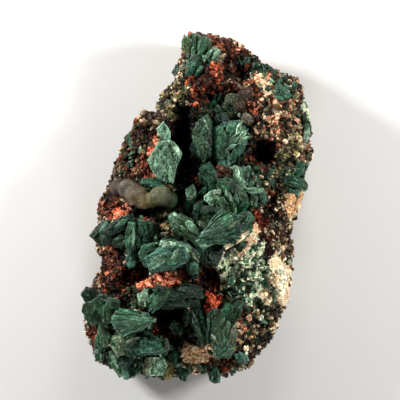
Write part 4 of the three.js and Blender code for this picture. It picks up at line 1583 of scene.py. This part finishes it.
# The crystals of each node, as the attributes of Crystal in their order. A row that starts with + is a
# thin plate on a crystal: the number of that crystal within the node, and the plate.
CRYSTALS = grouped("""
crown_crystals
192 46 1.5 -15 18 -12 30 20 4.5 FAN FERN .7 LINED .5
204 50 2 -14 12 24 26 13 4 TABLET FERN .6 LINED .1
212.5 55 2.5 -34 15 10 15 14 3 TABLET MINT 1 FLUTED
193 65 2.5 -24 5 -12 22 11 3.5 TABLET TEAL .6 SMOOTH
+ 0 188 45 .3 14 6 -10 20 10 1.6 PETAL FERN .8 LINED .3
+ 0 196 43 .8 -6 6 0 18 11 1.6 PETAL LEAF .8 LINED .3
+ 1 202 46 .4 -12 6 8 22 9 1.6 PETAL SPRUCE .8 LINED .3
+ 2 208.5 54 .6 -36 8 4 13 4 1.4 LATH MINT 1.1 SMOOTH
+ 2 216 54 .9 -32 8 8 13 5 1.4 LATH FROST 1.1 SMOOTH
+ 0 193.5 50 1.2 -8 6 4 12 5 1.2 LATH MINT 1.1 LINED
neck_crystal
178 71 .8 10 -8 -20 17 12 4 RHOMB DEEP .7 SMOOTH
small_rhomb_crystal
163.7 130.5 4 0 4 4 18 14 4 RHOMB MINT 1.4 SMOOTH 0 .3 3 16
large_tabular_crystal
165 161 4.5 0 6 3 44 34 6 SHIELD MINT 1 SCALY 0 .1 4 14
+ 0 175.5 149 .2 36 0 6 16 6 .9 LATH FROST .8 SCALY
+ 0 170.5 174 .3 6 -4 0 17 6 .9 LATH MINT .8 LINED
ledge_crystal
154 183 2.5 86 6 8 24 10 3.5 TABLET TEAL .7 LINED
cavity_leaf_crystal
202 138.5 6.5 0 6 -12 49 20 4.5 LEAF LEAF .6 SMOOTH 0 .45 4 30
196 149 4.5 14 8 -20 20 12 3.5 RHOMB DEEP .4 SMOOTH
+ 0 209 140 -1 2 0 30 36 6 1.2 LATH DEEP .3 SMOOTH
+ 0 206 124.5 -.1 22 0 6 16 2.4 1 LATH MINT .9 SMOOTH
+ 0 207 139 -.2 -10 0 6 20 2.2 1 LATH SPRUCE .8 SMOOTH
cavity_axe_crystal
229.5 145 7 0 4 -8 48 34 5.5 AXE BLUE .5 SMOOTH 0 -.1 4 22
235 137 8.5 -52 8 10 32 24 4 FAN SPRUCE 1.6 LINED .3
222 124 4 10 14 -6 22 18 4 TABLET DEEP .5 SMOOTH
+ 0 232 127 .6 -24 4 4 12 12 1.6 TABLET SPRUCE 1 SMOOTH
+ 0 239 128 1.1 -20 8 6 14 5 1.6 LATH FROST 1.2 SMOOTH
+ 0 243 134 .9 -46 8 4 13 5 1.6 LATH MINT 1.2 SMOOTH
+ 0 242.5 140 .5 -54 6 2 13 4.5 1.4 LATH FROST 1.2 SMOOTH
+ 0 234 141 1 -52 6 4 16 4.5 1.4 LATH SPRUCE 1.2 SMOOTH
+ 0 232 147 .8 -58 4 2 14 4.5 1.4 LATH MINT .9 SCALY
+ 0 221 143 .6 6 2 -4 34 14 1.6 COFFIN SPRUCE .7 SMOOTH
+ 0 229 159 .2 -3 2 -10 16 2.6 1.2 LATH MINT .8 SMOOTH
+ 0 236 153 0 -36 -4 14 18 9 1.4 TABLET TEAL .7 SMOOTH
lone_cavity_crystal
191.2 192 3.5 -14 6 -4 17 14 4.5 RHOMB MINT 1 SMOOTH
+ 0 190.5 198 0 60 -10 0 4 5 .8 LATH TAN .6 SMOOTH
cavity_floor_crystals
190 207 2 8 16 -8 18 12 3.5 TABLET DEEP .4 SMOOTH
198 208 2 -36 10 5 18 11 3.5 RHOMB TEAL .6 SMOOTH
centre_spray_crystals
210 177 3 28 8 -10 27 16 4.5 TABLET TEAL .5 SMOOTH
225 174 2.5 60 5 5 24 15 4 TABLET BROWN .3 SCALY
239.5 179 4.5 17 10 14 25 10 3.5 TABLET MINT .9 SMOOTH
247.5 176 3.8 -12 6 8 20 17 4 RHOMB SPRUCE .9 SCALY
231 192 4 44 4 4 32 26 5 TABLET SAGE .5 FLUTED .1
213.5 197 5.5 0 10 -8 17 18 4.5 KITE MINT 1.5 SCALY
223 206 4 22 16 -8 20 12 3.5 TABLET SAGE .9 FLUTED
232 205 4 14 24 -34 22 9 2.5 LATH SAGE 1 LINED
241 208 3.5 -40 18 20 20 10 3 TABLET TEAL .8 FLUTED
253 190.5 4.2 86 4 6 24 7 3 LATH MINT .9 SMOOTH
253 199.5 4 2 8 -14 18 7 3 LATH SAGE .9 SMOOTH
261.5 197 3 36 5 16 15 10 3 TABLET TEAL .6 SMOOTH
+ 4 226 185 .4 60 0 0 18 8 1.2 TABLET SPRUCE .8 SMOOTH
+ 4 235 189 .5 36 4 6 18 9 1.2 TABLET LEAF .8 SMOOTH
+ 4 228 195 .6 30 8 0 14 6 1.2 LATH MINT .9 SMOOTH
+ 4 236 199 .4 10 8 10 14 6 1.2 LATH SPRUCE 1 SMOOTH
+ 3 254 178 .4 -30 4 4 9 2.4 1 LATH BROWN .4 SCALY
+ 5 216 192 .3 -50 4 0 8 4 .8 LATH FOAM .7 SMOOTH
+ 2 237 172 .3 12 4 0 14 4 1 LATH FROST .9 SMOOTH
centre_plate_crystals
212 213 3 72 8 8 22 13 4 TABLET DEEP .4 SMOOTH
187 229 4 52 6 -6 32 20 5 TABLET SAGE .8 LINED
178 224 5 40 10 -14 24 13 3.5 TABLET MINT 1 SCALY
222 228 5 -62 5 6 48 26 5.5 FAN TEAL 1.1 LINED .3
240 221 4 -56 6 -8 26 14 4 TABLET TEAL .9 FLUTED
235 231 2.5 -50 -8 26 32 11 4 TABLET DEEP 1 SMOOTH
209 237 4 -50 4 -10 26 18 4.5 TABLET MINT .7 LINED
211 251 2.5 -10 -8 -6 28 24 4.5 TABLET DEEP .1 SMOOTH
199 241 4 20 10 -26 24 11 3.5 TABLET TEAL .7 SMOOTH
+ 3 212 233 .6 -74 4 0 26 12 1.4 PETAL SPRUCE .8 LINED .3
+ 3 220 224 .8 -58 4 0 30 12 1.4 PETAL SPRUCE .8 LINED .3
+ 3 232 224 .9 -54 2 6 13 5 1.2 LATH STRAW .8 SCALY
+ 4 240 218 .4 -60 2 6 12 3 1 LATH LICHEN .7 SCALY
+ 5 236.5 239.5 -.6 -56 2 -16 30 7 1.4 TABLET CREAM .5 SCALY
+ 1 193 228 .4 44 2 6 20 9 1.2 PETAL MINT .8 LINED .3
+ 1 202 224 .8 36 4 8 9 7 1.2 RHOMB STRAW .7 SCALY
saddle_crystals
149 255 4.5 12 8 -12 22 19 5 TABLET SPRUCE .8 SMOOTH
167.5 257.5 4.5 -72 6 6 42 26 6 TABLET BLUE .7 LINED .4
176 246 5.8 74 10 12 32 11 4 TABLET SPRUCE 1 SCALY
188 251 5.5 56 8 22 26 12 3.5 TABLET SAGE .9 FLUTED
192 262 4.5 8 4 16 24 12 4 TABLET TEAL .8 SMOOTH
194.5 269 3.5 -4 0 10 20 10 3.5 LATH DEEP .6 SMOOTH
+ 2 166 244 .5 76 2 0 12 8 1.2 TABLET FROST 1.2 SMOOTH
+ 2 174 244 .6 60 4 4 12 6 1.2 RHOMB FROST 1.2 SCALY
+ 2 184 248 .5 60 2 4 13 5 1.2 LATH FROST 1.1 SCALY
+ 1 157 262 .5 -52 2 0 20 12 1.2 PETAL MINT .7 LINED .4
+ 1 168 259 .7 -84 2 0 26 16 1.2 PETAL SPRUCE .7 SMOOTH
+ 1 176 253 1 -36 4 0 14 6 1.2 LATH MINT 1.1 SMOOTH
+ 3 194 256 .4 36 0 8 16 4 1.2 LATH STRAW .8 SMOOTH
saddle_side_crystal
131.5 259 2 -16 8 -14 18 12 4 RHOMB BLUE .5 SMOOTH
left_shoulder_crystals
102 231 1.5 -45 10 -25 26 15 4 TABLET LEAF .4 SMOOTH
118 226 3 -54 12 -8 32 13 4 TABLET DEEP .4 SMOOTH
112 235 2.5 -48 10 10 26 12 3.5 TABLET DEEP .6 SMOOTH
121 240 3 -82 5 8 18 13 4 RHOMB SAGE .7 SMOOTH
131.5 237 4.5 -2 12 -12 32 11 4.5 TABLET SPRUCE .8 FLUTED 0 .3 3 24
141 234 4 -6 12 14 26 13 4.5 TABLET TEAL .8 FLUTED
150.5 234 2.5 -10 8 30 25 14 4 TABLET DEEP .5 SMOOTH
+ 4 133.5 237 .4 -2 2 0 22 3 1 LATH MINT .9 SMOOTH
+ 1 122 223 .5 -52 4 8 18 6 1.2 LATH SPRUCE .9 SMOOTH
+ 0 104 228 .4 -40 2 6 14 7 1.2 TABLET SPRUCE .9 SMOOTH
arch_crystals
144.5 297 5 -18 8 -6 19 15 4.5 RHOMB FROST .5 SMOOTH
157 299.5 4.5 -38 6 -6 28 16 4.5 LEAF TEAL .6 SMOOTH
180 301 3.5 86 0 -14 42 12 4.5 TABLET DEEP .2 SMOOTH
170 294 3.5 80 0 -8 32 11 4 TABLET DEEP .2 SMOOTH
190 291 4 84 10 -12 25 13 4 TABLET DEEP .4 SMOOTH
+ 1 156 301 .4 -36 2 -6 24 8 1.2 PETAL SPRUCE .7 SMOOTH
+ 1 164 297 .3 -40 2 8 18 7 1.2 PETAL LEAF .6 SMOOTH
+ 2 178 303 .3 84 0 -4 26 6 1.2 LATH DEEP .7 SMOOTH
+ 4 186 291 .4 80 0 -6 15 11 1.2 PETAL DEEP .7 SMOOTH
left_fan_crystals
98 312 3.5 30 8 -8 31 29 5.5 FAN LEAF .7 LINED .3
111 311 3.5 -16 10 10 24 19 5 TABLET LEAF .8 SMOOTH
92 298 2.2 60 4 -8 24 15 4 TABLET DEEP .6 SMOOTH
+ 0 91 313 .9 12 0 -4 25 19 1.6 PETAL LEAF .7 SMOOTH .5
+ 0 102 308 1.7 26 4 4 25 14 1.6 PETAL SPRUCE .7 SMOOTH .5
+ 1 112 310 1 -14 4 4 21 17 1.6 PETAL LEAF .7 SMOOTH .5
sheaf_crystal
133 321 6 -82 4 6 44 29 6.5 SHEAF SPRUCE .9 LINED .3
lower_left_crystals
119 345.5 5 16 10 -5 20 16 5 TABLET STRAW .7 LINED
129 347 4 10 10 14 19 9 4 TABLET DEEP .8 LINED
136 349 3.5 6 8 18 18 9 3.5 TABLET DEEP .7 LINED
151 346 4.5 -88 4 -6 36 18 5.5 COFFIN TEAL .9 SMOOTH
116 364 3 28 -4 -22 30 12 3.5 TABLET SAGE 1 SMOOTH
127 369 2.5 14 -8 8 22 15 5 TABLET TEAL .6 SMOOTH
127 359 3.5 -38 6 8 22 13 4 TABLET DEEP .6 SMOOTH
+ 3 151 346 .5 -90 0 0 24 14 1.2 COFFIN BLUE 1 SMOOTH
+ 3 166 346 -.1 -80 -4 0 3.4 11 1 TABLET EARTH .9 SCALY
+ 4 114 360 .5 30 0 -6 20 6 1.2 PETAL MINT 1 SMOOTH
+ 5 125 374 .5 8 -4 0 12 8 1.2 TABLET BLUE .9 SMOOTH
+ 2 133 339.5 .8 -70 0 0 16 4 1.2 LATH LICHEN 1 SMOOTH
left_edge_blades
104 334 2.5 5 12 -24 28 11 3.5 TABLET SAGE 1.1 FLUTED
99 346 2.5 -4 0 -24 34 10 3.5 LATH SPRUCE 1.2 FLUTED
bottom_block_crystal
154.5 366.5 3.5 0 4 6 19 25 5.5 TABLET FROST .9 SCALY
168.5 369.5 2.8 -10 -6 14 22 10 4 TABLET OLIVE .7 FLUTED
144 368 2 0 -5 -16 16 8 3 LATH LICHEN .6 SMOOTH
+ 0 161 367 .4 20 0 4 14 10 1.2 TABLET MINT 1 SMOOTH
+ 0 147 366 .2 -8 0 -8 17 8 1.2 TABLET LICHEN .9 SMOOTH
bottom_tip_left
182 376 1.5 12 -8 -8 16 11 3.5 RHOMB TEAL .9 SMOOTH
bottom_tip_right
215 376.5 1.5 -10 -8 5 17 13 4 RHOMB TEAL .9 SMOOTH
lower_corner_crystal
241.5 359.5 1.5 30 -5 15 15 13 4 RHOMB BLUE 1 SCALY
lower_blade_crystals
223.5 339 5 0 2 6 37 27 5.5 SPADE SAGE .8 LINED 0 .2 3 12
216 320 5 -6 8 -12 24 19 4.5 TABLET DEEP .9 SMOOTH
201 326 4.2 21 4 -16 40 16 4.5 TABLET DEEP .5 SMOOTH
226 314 3.5 -14 8 12 22 12 4 TABLET TEAL .6 SMOOTH
236 310.5 3.5 -20 6 18 23 10 4 TABLET LEAF .7 SMOOTH
+ 0 223 350 .3 0 -6 0 15 20 1.4 TABLET TEAL 1 SMOOTH
+ 0 233 333 .2 -14 4 14 26 6 1.2 LATH LICHEN .9 LINED
+ 0 214.5 338 .4 36 0 -8 16 3 1.2 LATH LICHEN 1 SMOOTH
+ 1 209 321 .5 -2 2 -6 22 3 1.2 LATH SPRUCE 1.2 SMOOTH
+ 1 218 318 .4 -6 4 4 20 14 1.4 TABLET LEAF .9 SMOOTH
+ 2 197 324 .5 23 0 -10 36 6 1.4 LATH LEAF 1.2 SMOOTH
arch_foot_crystal
187 316 2 -8 14 -20 22 8 3 LATH DEEP .5 SMOOTH
arch_floor_crystal
176 327 1.5 20 5 5 18 14 4 RHOMB DEEP .4 SMOOTH
right_edge_crystals
299 168 1.5 -50 0 18 18 14 4.5 RHOMB TEAL .8 SMOOTH
293 181 1.5 70 0 16 24 15 4.5 TABLET TEAL .9 SCALY
right_rim_blade
306 134 .5 -12 0 28 19 8 3 LATH FROST .7 SMOOTH
upper_field_crystal
281 92 1.5 30 0 8 20 15 4 RHOMB TEAL .8 SCALY
upper_edge_crystal
268 69 .8 50 5 8 15 11 3.5 RHOMB DEEP .9 SMOOTH
""")


class Mixture(Enum):
    """Tints of the small blades of a thicket."""

    GREENS = (Tint.TEAL, Tint.DEEP, Tint.SAGE, Tint.TEAL, Tint.MINT)
    DARKS = (Tint.DEEP, Tint.DEEP, Tint.TEAL)


@dataclass(frozen=True)
class Thicket:
    """A patch of small blades that stand between the large crystals.

    Attributes:
        u, v: Plan place of its middle.
        across: Half width in plan steps.
        along: Half height in plan steps.
        count: Number of blades.
        turn: Usual turn of a blade's length, anticlockwise, in degrees.
        spread: How much the turns differ, in degrees.
        tints: Body colours.
        size: Usual length of a blade in plan steps.
        lift, pitch, roll, slimness, thick, pale: Least and greatest values of its blades, with their
            width as a share of their length.
    """

    u: float
    v: float
    across: float
    along: float
    count: int
    turn: float
    spread: float
    tints: tuple[Tint, ...]
    size: float
    lift: tuple[float, float] = (0.2, 1.8)
    pitch: tuple[float, float] = (0, 45)
    roll: tuple[float, float] = (-60, 60)
    slimness: tuple[float, float] = (0.25, 0.6)
    thick: tuple[float, float] = (0.7, 1.5)
    pale: tuple[float, float] = (0.3, 1.2)

    def blades(self, rng: Generator) -> list[Crystal]:
        """Scatter its blades.

        Args:
            rng: Random numbers.

        Returns:
            The blades.
        """
        found = []
        for _ in range(self.count):
            angle, reach = rng.uniform(0, 2 * math.pi), math.sqrt(rng.random())
            length = self.size * rng.lognormal(0, 0.3)
            found.append(Crystal(
                self.u + self.across * reach * math.cos(angle),
                self.v + self.along * reach * math.sin(angle),
                rng.uniform(*self.lift), rng.normal(self.turn, self.spread), rng.uniform(*self.pitch),
                rng.uniform(*self.roll), length, length * rng.uniform(*self.slimness),
                rng.uniform(*self.thick), (Habit.SPLINTER, Habit.TABLET, Habit.PETAL)[rng.integers(3)],
                self.tints[rng.integers(len(self.tints))], rng.uniform(*self.pale),
            ))
        return found


# The attributes of Thicket in their order.
THICKETS = [Thicket(*row[:4], int(row[4]), *row[5:7], Mixture[row[7]].value, row[8]) for row in table("""
196 56 14 18 26 -10 30 GREENS 11; 226 103 18 9 26 10 60 DARKS 9; 232 193 30 20 70 20 60 GREENS 12;
208 210 22 9 26 20 60 DARKS 11; 222 235 26 18 40 -50 40 GREENS 12; 184 232 16 10 20 50 30 GREENS 12;
166 256 34 16 50 -20 60 GREENS 12; 124 232 32 14 60 -30 40 GREENS 12; 172 296 32 11 40 70 40 GREENS 12;
100 310 18 16 36 90 60 DARKS 11; 130 325 22 13 30 -80 40 GREENS 12; 136 350 40 18 70 0 50 GREENS 12;
120 366 20 9 26 10 50 GREENS 11; 160 368 22 9 24 -10 50 GREENS 11; 218 334 22 20 44 0 30 DARKS 11;
206 372 34 5 24 0 40 DARKS 9; 295 176 13 18 34 30 60 GREENS 10; 278 88 18 12 26 30 60 GREENS 8;
256 62 16 8 20 30 60 DARKS 8; 262 176 14 10 20 30 60 GREENS 9; 150 184 10 6 8 86 20 GREENS 9;
252 290 26 40 26 0 90 GREENS 8; 206 150 20 30 24 0 40 DARKS 10; 180 72 8 12 12 10 40 DARKS 9;
308 130 4 26 16 0 20 GREENS 9; 128 150 16 20 14 0 90 GREENS 7
""")]


@dataclass
class Heulandite:
    """All the green crystals.

    Attributes:
        lowest: Height that a small blade needs below it, in metres.
        scales: Small plates on a crystal for each square plan step of it.
        scale_size: Usual length and width of a small plate in plan steps.
        blade_cell: Width of the cells of the face of a small blade in metres.
        seed: Start of the random numbers.
    """

    lowest: float = 23.2 * MM
    scales: float = 0.008
    scale_size: tuple[float, float] = (9.0, 3.6)
    blade_cell: float = 0.68 * MM
    seed: int = 31

    def build(self) -> list[Object]:
        """Make a piece for each group of grown-together crystals.

        Returns:
            The pieces.
        """
        finish = CrystalFinish().make()
        pieces = []
        for number, (name, rows) in enumerate(CRYSTALS.items()):
            stack = PlateStack(MeshPot(), np.random.default_rng(self.seed + number))
            group = [Crystal.read(row) for row in rows if row[0] != "+"]
            for crystal in group:
                stack.add_crystal(crystal, rock_height(crystal.u, crystal.v))
            plates = [(host, plate) for host in group for plate in self._scales(host, stack.rng)]
            plates += [(group[int(row[1])], Crystal.read(row[2:])) for row in rows if row[0] == "+"]
            for host, plate in plates:
                place = lying_on(plate, host, rock_height(host.u, host.v))
                stack.add_plate(plate, place, stack.cell)
            piece = stack.pot.build(name.replace("_crystal", "_heulandite"))
            pieces.append(dress(piece, finish, "heulandite", name))
        stack = PlateStack(MeshPot(), np.random.default_rng(self.seed - 1))
        for thicket in THICKETS:
            for blade in thicket.blades(stack.rng):
                ground = rock_height(blade.u, blade.v)
                if ground > self.lowest:
                    stack.add_plate(blade, blade.frame(ground), self.blade_cell)
        pieces.append(dress(stack.pot.build("small_blades"), finish, "heulandite"))
        return pieces

    def _scales(self, host: Crystal, rng: Generator) -> list[Crystal]:
        """Scatter small thin plates over the face of a crystal.

        Args:
            host: The crystal.
            rng: Random numbers.

        Returns:
            The plates.
        """
        scales = []
        turn = math.radians(host.turn)
        for _ in range(0 if host.habit.split else round(host.length * host.width * self.scales)):
            across, along = rng.uniform(-0.34, 0.34, 2) * (host.width, host.length)
            length, width = np.array(self.scale_size) * rng.lognormal(0, 0.22, 2)
            scales.append(replace(
                host,
                u=host.u + math.cos(turn) * across - math.sin(turn) * along,
                v=host.v - math.sin(turn) * across - math.cos(turn) * along,
                lift=rng.uniform(-0.15, 0.25) - 0.06 * abs(across),
                turn=host.turn + rng.normal(0, 11), pitch=rng.normal(0, 4),
                roll=rng.normal(0, 4) + 20 * across / host.width,
                length=min(length, 0.4 * host.length), width=min(width, 0.4 * host.width), thick=0.9,
                habit=(Habit.LATH, Habit.RHOMB, Habit.TABLET)[rng.integers(3)],
                tint=(*[host.tint] * 4, Tint.SPRUCE, Tint.TEAL)[rng.integers(6)],
                skin=Skin.SMOOTH,
            ))
        return scales


# Rounded lumps: u, v, lift above the rock (mm), half width, half length (plan steps), half height (mm),
# turn (degrees), tint.
CHALCEDONY = grouped("""
chalcedony_left
119 188 2.4 10 10 5.2 0 SMOKE; 130 190.5 2.4 13 11 5.5 -34 GREY; 137 195.5 2.6 13 11 5.6 -34 GREY;
143 200 2 10 9.5 5.2 -34 TAN; 152 200 1.6 8 8 4.6 0 OLIVE; 161 196 2.4 12 11 5.6 0 LICHEN;
169 200 1.6 9 9.5 5.2 0 LEAF
chalcedony_knobs
240.5 107.5 1.3 6.8 6.2 3.2 0 EARTH; 247.5 119.5 1 7 7.4 3.2 0 GREY; 246.5 95 .7 9 7.5 3 0 SMOKE;
232 99 .9 8 7 3.2 0 LICHEN; 225.5 108 1 8.5 8 3.3 0 SAGE; 231 116 .8 8 6.5 3 0 MOSS
""")


@dataclass
class Chalcedony:
    """The waxy lumps.

    Attributes:
        voxel: Size of their faces in metres.
        swell: Height of the small bulges in metres.
        bulge: Distance between the bulges in metres.
        fullness: Size of the rough ball that rounds off to a lump of size 1.
        rounding: How often the faces of a rough ball are split.
        smoothing: Rounds of smoothing where the lumps meet.
    """

    voxel: float = 0.4 * MM
    swell: float = 0.22 * MM
    bulge: float = 3.2 * MM
    fullness: float = 1.28
    rounding: int = 3
    smoothing: int = 18

    def build(self) -> list[Object]:
        """Make a piece of each row of lumps.

        Returns:
            The pieces.
        """
        finishes = (ChalcedonyFinish().make(), ChalcedonyFinish("chalcedony_frosted", 1.0, 0.4).make())
        return [self._lumps(name, rows, finish)
                for (name, rows), finish in zip(CHALCEDONY.items(), finishes)]

    def _lumps(self, name: str, rows: list[list], finish: Material) -> Object:
        """Make one row of lumps, melted together and covered in small bulges.

        Args:
            name: Name of its CAD node.
            rows: The lumps.
            finish: Their material.

        Returns:
            The piece.
        """
        pot = MeshPot()
        ball = np.array(ROUND_GRAIN[0], float)
        ball /= np.linalg.norm(ball, axis=1, keepdims=True)
        middles, tints = [], []
        for u, v, lift, across, along, high, turn, tint in rows:
            x, y = PLAN.place(u, v)
            middle = np.array((x, y, rock_height(u, v) + lift * MM))
            c, s = math.cos(math.radians(turn)), math.sin(math.radians(turn))
            size = self.fullness * np.array((across * PLAN.step, along * PLAN.step, high * MM))
            pot.add(ball * size @ np.array([[c, s, 0], [-s, c, 0], [0, 0, 1]]) + middle, ROUND_GRAIN[1])
            middles.append(middle)
            tints.append(Tint[tint].value)
        rough = pot.build(name + "_rough")
        rough.modifiers.new("round", "SUBSURF").levels = self.rounding
        rough.data.update()
        mesh = remeshed(applied(rough), self.voxel, self.smoothing)
        points, normals = read_points(mesh), read_points(mesh, "normal")
        bulges = np.array([noise.voronoi(Vector(point) / self.bulge)[0][0] for point in points])
        points += normals * (self.swell * (0.6 - bulges ** 2))[:, None]
        mesh.vertices.foreach_set("co", points.astype(np.float32).ravel())
        gaps = np.linalg.norm(points[:, None] - np.array(middles)[None], axis=2)
        shares = 1 / gaps ** 5
        shares /= shares.sum(axis=1, keepdims=True)
        # Painted shade and light: darker in the creases between the bulges, lighter on their tops.
        crease_shade = np.clip(1.25 - 0.9 * bulges ** 2, 0.4, 1.2)
        write_attribute(mesh, "tint", (shares @ np.array(tints)) * crease_shade[:, None])
        mesh.shade_smooth()
        return dress(link_mesh(name.replace("chalcedony", "waxy"), mesh), finish, "chalcedony", name)


# Small balls that stand out of the druse: u, v, lift of the middle above the rock (mm), radius (plan
# steps), tint.
SPHERULES = table("""
149 284 .6 2.6 SALMON; 156 276 1.1 3.2 SALMON; 160 279 1.5 3.6 SALMON; 166 275 1.3 3.2 SALMON;
164 283 1 3.2 SALMON; 171 281 1.1 3 SALMON; 152 281 .8 2.6 RUST; 168 287 .8 2.6 RUST;
159 286 .7 2.6 RUST; 175 272 1.6 3.8 PEACH; 179 279 .8 2.6 RUST; 208 300 1.8 2.6 RED;
211.5 300.5 2.2 4.8 CORAL; 213 306 2.3 4.2 CORAL; 216.5 303 2.2 3 CORAL; 210 310.5 2.3 4 CORAL;
219 299 1.2 2.8 RED; 206 306 1.2 2.8 RED; 216 311 1.2 2.6 RED; 236 325 1.2 3.2 PEACH; 249 318 1 3 PEACH;
246 349 .8 3.4 CREAM; 240 342 .8 3 TAN; 244 329 .8 2.6 SALMON; 179 123 1 3.6 PEACH; 198 63 1 2.4 SALMON;
212 68 1 2.4 RUST; 245 355 .8 3 FOAM; 261 318 .9 3 FOAM; 279 272 .6 6.4 WHITE; 280 291 .6 5.6 WHITE;
268 298 .7 5 CREAM; 281 281 .5 5.6 WHITE
""")


@dataclass
class Spherules:
    """The small balls of the druse.

    Attributes:
        unevenness: Height of their bumps as a share of their radius.
        bump: Distance between the bumps as a share of their radius.
        fineness: How often the faces of a ball are split.
    """

    unevenness: float = 0.45
    bump: float = 0.65
    fineness: int = 3

    def build(self) -> Object:
        """Make the balls.

        Returns:
            The piece.
        """
        ball = bmesh.new()
        bmesh.ops.create_icosphere(ball, subdivisions=self.fineness, radius=1.0)
        points = np.array([vertex.co for vertex in ball.verts])
        faces = [[vertex.index for vertex in face.verts] for face in ball.faces]
        ball.free()
        pot = MeshPot()
        for number, (u, v, lift, radius, tint) in enumerate(SPHERULES):
            shift = Vector((number * 5.1, number * 2.3, 0))
            swell = [1 + self.unevenness * noise.noise(Vector(point) / self.bump + shift)
                     for point in points]
            x, y = PLAN.place(u, v)
            middle = np.array((x, y, rock_height(u, v) + lift * MM))
            # Painted shade and light: each ball is darker in its dents and lighter on its bulges.
            shades = np.array(swell)[:, None] ** 4
            pot.add(points * np.array(swell)[:, None] * radius * PLAN.step + middle, faces,
                    tint=np.array(Tint[tint].value) * shades)
        return dress(pot.build("spherules"), SPHERULE.make(), "rock")


class Surveyor:
    """Reads the height of the rock's own solid."""

    def __init__(self) -> None:
        """Take the rock's solid."""
        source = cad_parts["matrix"].data
        points = [tuple(vertex.co) for vertex in source.vertices]
        faces = [tuple(face.vertices) for face in source.polygons]
        self.tree = BVHTree.FromPolygons(points, faces)

    def height(self, u: float, v: float) -> float:
        """Find the height of the rock's face.

        Args:
            u, v: Plan place.

        Returns:
            The height in metres.
        """
        x, y = PLAN.place(u, v)
        hit = self.tree.ray_cast((x, y, 0.2), (0, 0, -1))[0]
        return RIM_HEIGHT if hit is None else hit.z


rock_height = Surveyor().height


# -------- the studio
@dataclass
class Studio:
    """Floor, lights and camera.

    Attributes:
        lens: Focal length in mm.
        reach: Height of the camera above the middle of the specimen's face, in metres.
        aim: Plan place that the camera looks at.
        face: Height of the face that fills the view at its true scale, in metres.
        lights: Each light's name, place and size in metres, and power in watts.
        floor_size: Half width of the floor in metres.
        sky_colour, sky_strength: Even light from all sides.
    """

    lens: float = 300.0
    reach: float = 1.3333
    aim: tuple[float, float] = (200.0, 200.0)
    face: float = 36 * MM
    lights: tuple = (
        ("key", (-0.42, 0.24, 0.25), 0.10, 4.3),
        ("right", (0.40, 0.10, 0.28), 0.12, 2.1),
        ("near", (0.0, -0.46, 0.24), 0.14, 0.8),
        ("far", (0.08, 0.48, 0.22), 0.14, 1.1),
    )
    floor_size: float = 1.5
    sky_colour: Colour = (1.0, 0.98, 0.92)
    sky_strength: float = 0.05

    def build(self) -> None:
        """Make the floor, the lights and the camera."""
        self._floor()
        for light in self.lights:
            self._light(*light)
        world = bpy.data.worlds.new("studio")
        world.use_nodes = True
        sky = world.node_tree.nodes["Background"].inputs
        sky["Color"].default_value = (*self.sky_colour, 1.0)
        sky["Strength"].default_value = self.sky_strength
        bpy.context.scene.world = world
        bpy.context.scene.view_settings.view_transform = "Standard"
        self._camera()

    def _floor(self) -> None:
        """Lay the floor."""
        mesh = bpy.data.meshes.new("floor")
        size = self.floor_size
        mesh.from_pydata([(-size, -size, 0), (size, -size, 0), (size, size, 0), (-size, size, 0)],
                         [], [(0, 1, 2, 3)])
        floor = link_mesh("floor", mesh)
        mesh.materials.append(FloorFinish().make())

    @staticmethod
    def _light(name: str, place: tuple[float, float, float], size: float, power: float) -> None:
        """Hang a soft square light that faces the specimen.

        Args:
            name: Its name.
            place: Its place in metres.
            size: Its width in metres.
            power: Its power in watts.
        """
        data = bpy.data.lights.new(name, "AREA")
        data.size = size
        data.energy = power
        lamp = bpy.data.objects.new(name, data)
        lamp.location = place
        lamp.rotation_euler = Vector(place).to_track_quat("Z", "Y").to_euler()
        bpy.context.scene.collection.objects.link(lamp)

    def _camera(self) -> None:
        """Hang the camera straight above."""
        data = bpy.data.cameras.new("camera")
        data.lens = self.lens
        data.clip_end = 5.0
        camera = bpy.data.objects.new("camera", data)
        x, y = PLAN.place(*self.aim)
        camera.location = (x, y, self.face + self.reach)
        bpy.context.scene.collection.objects.link(camera)
        bpy.context.scene.camera = camera


def main() -> None:
    """Build the specimen and its studio."""
    logging.basicConfig(level=logging.INFO, format="%(message)s")
    Studio().build()
    druse = DruseMap()
    rock = Rock().build(druse)
    Grains().build(rock, druse)
    Spherules().build()
    Chalcedony().build()
    Heulandite().build()


if __name__ == "__main__":
    main()
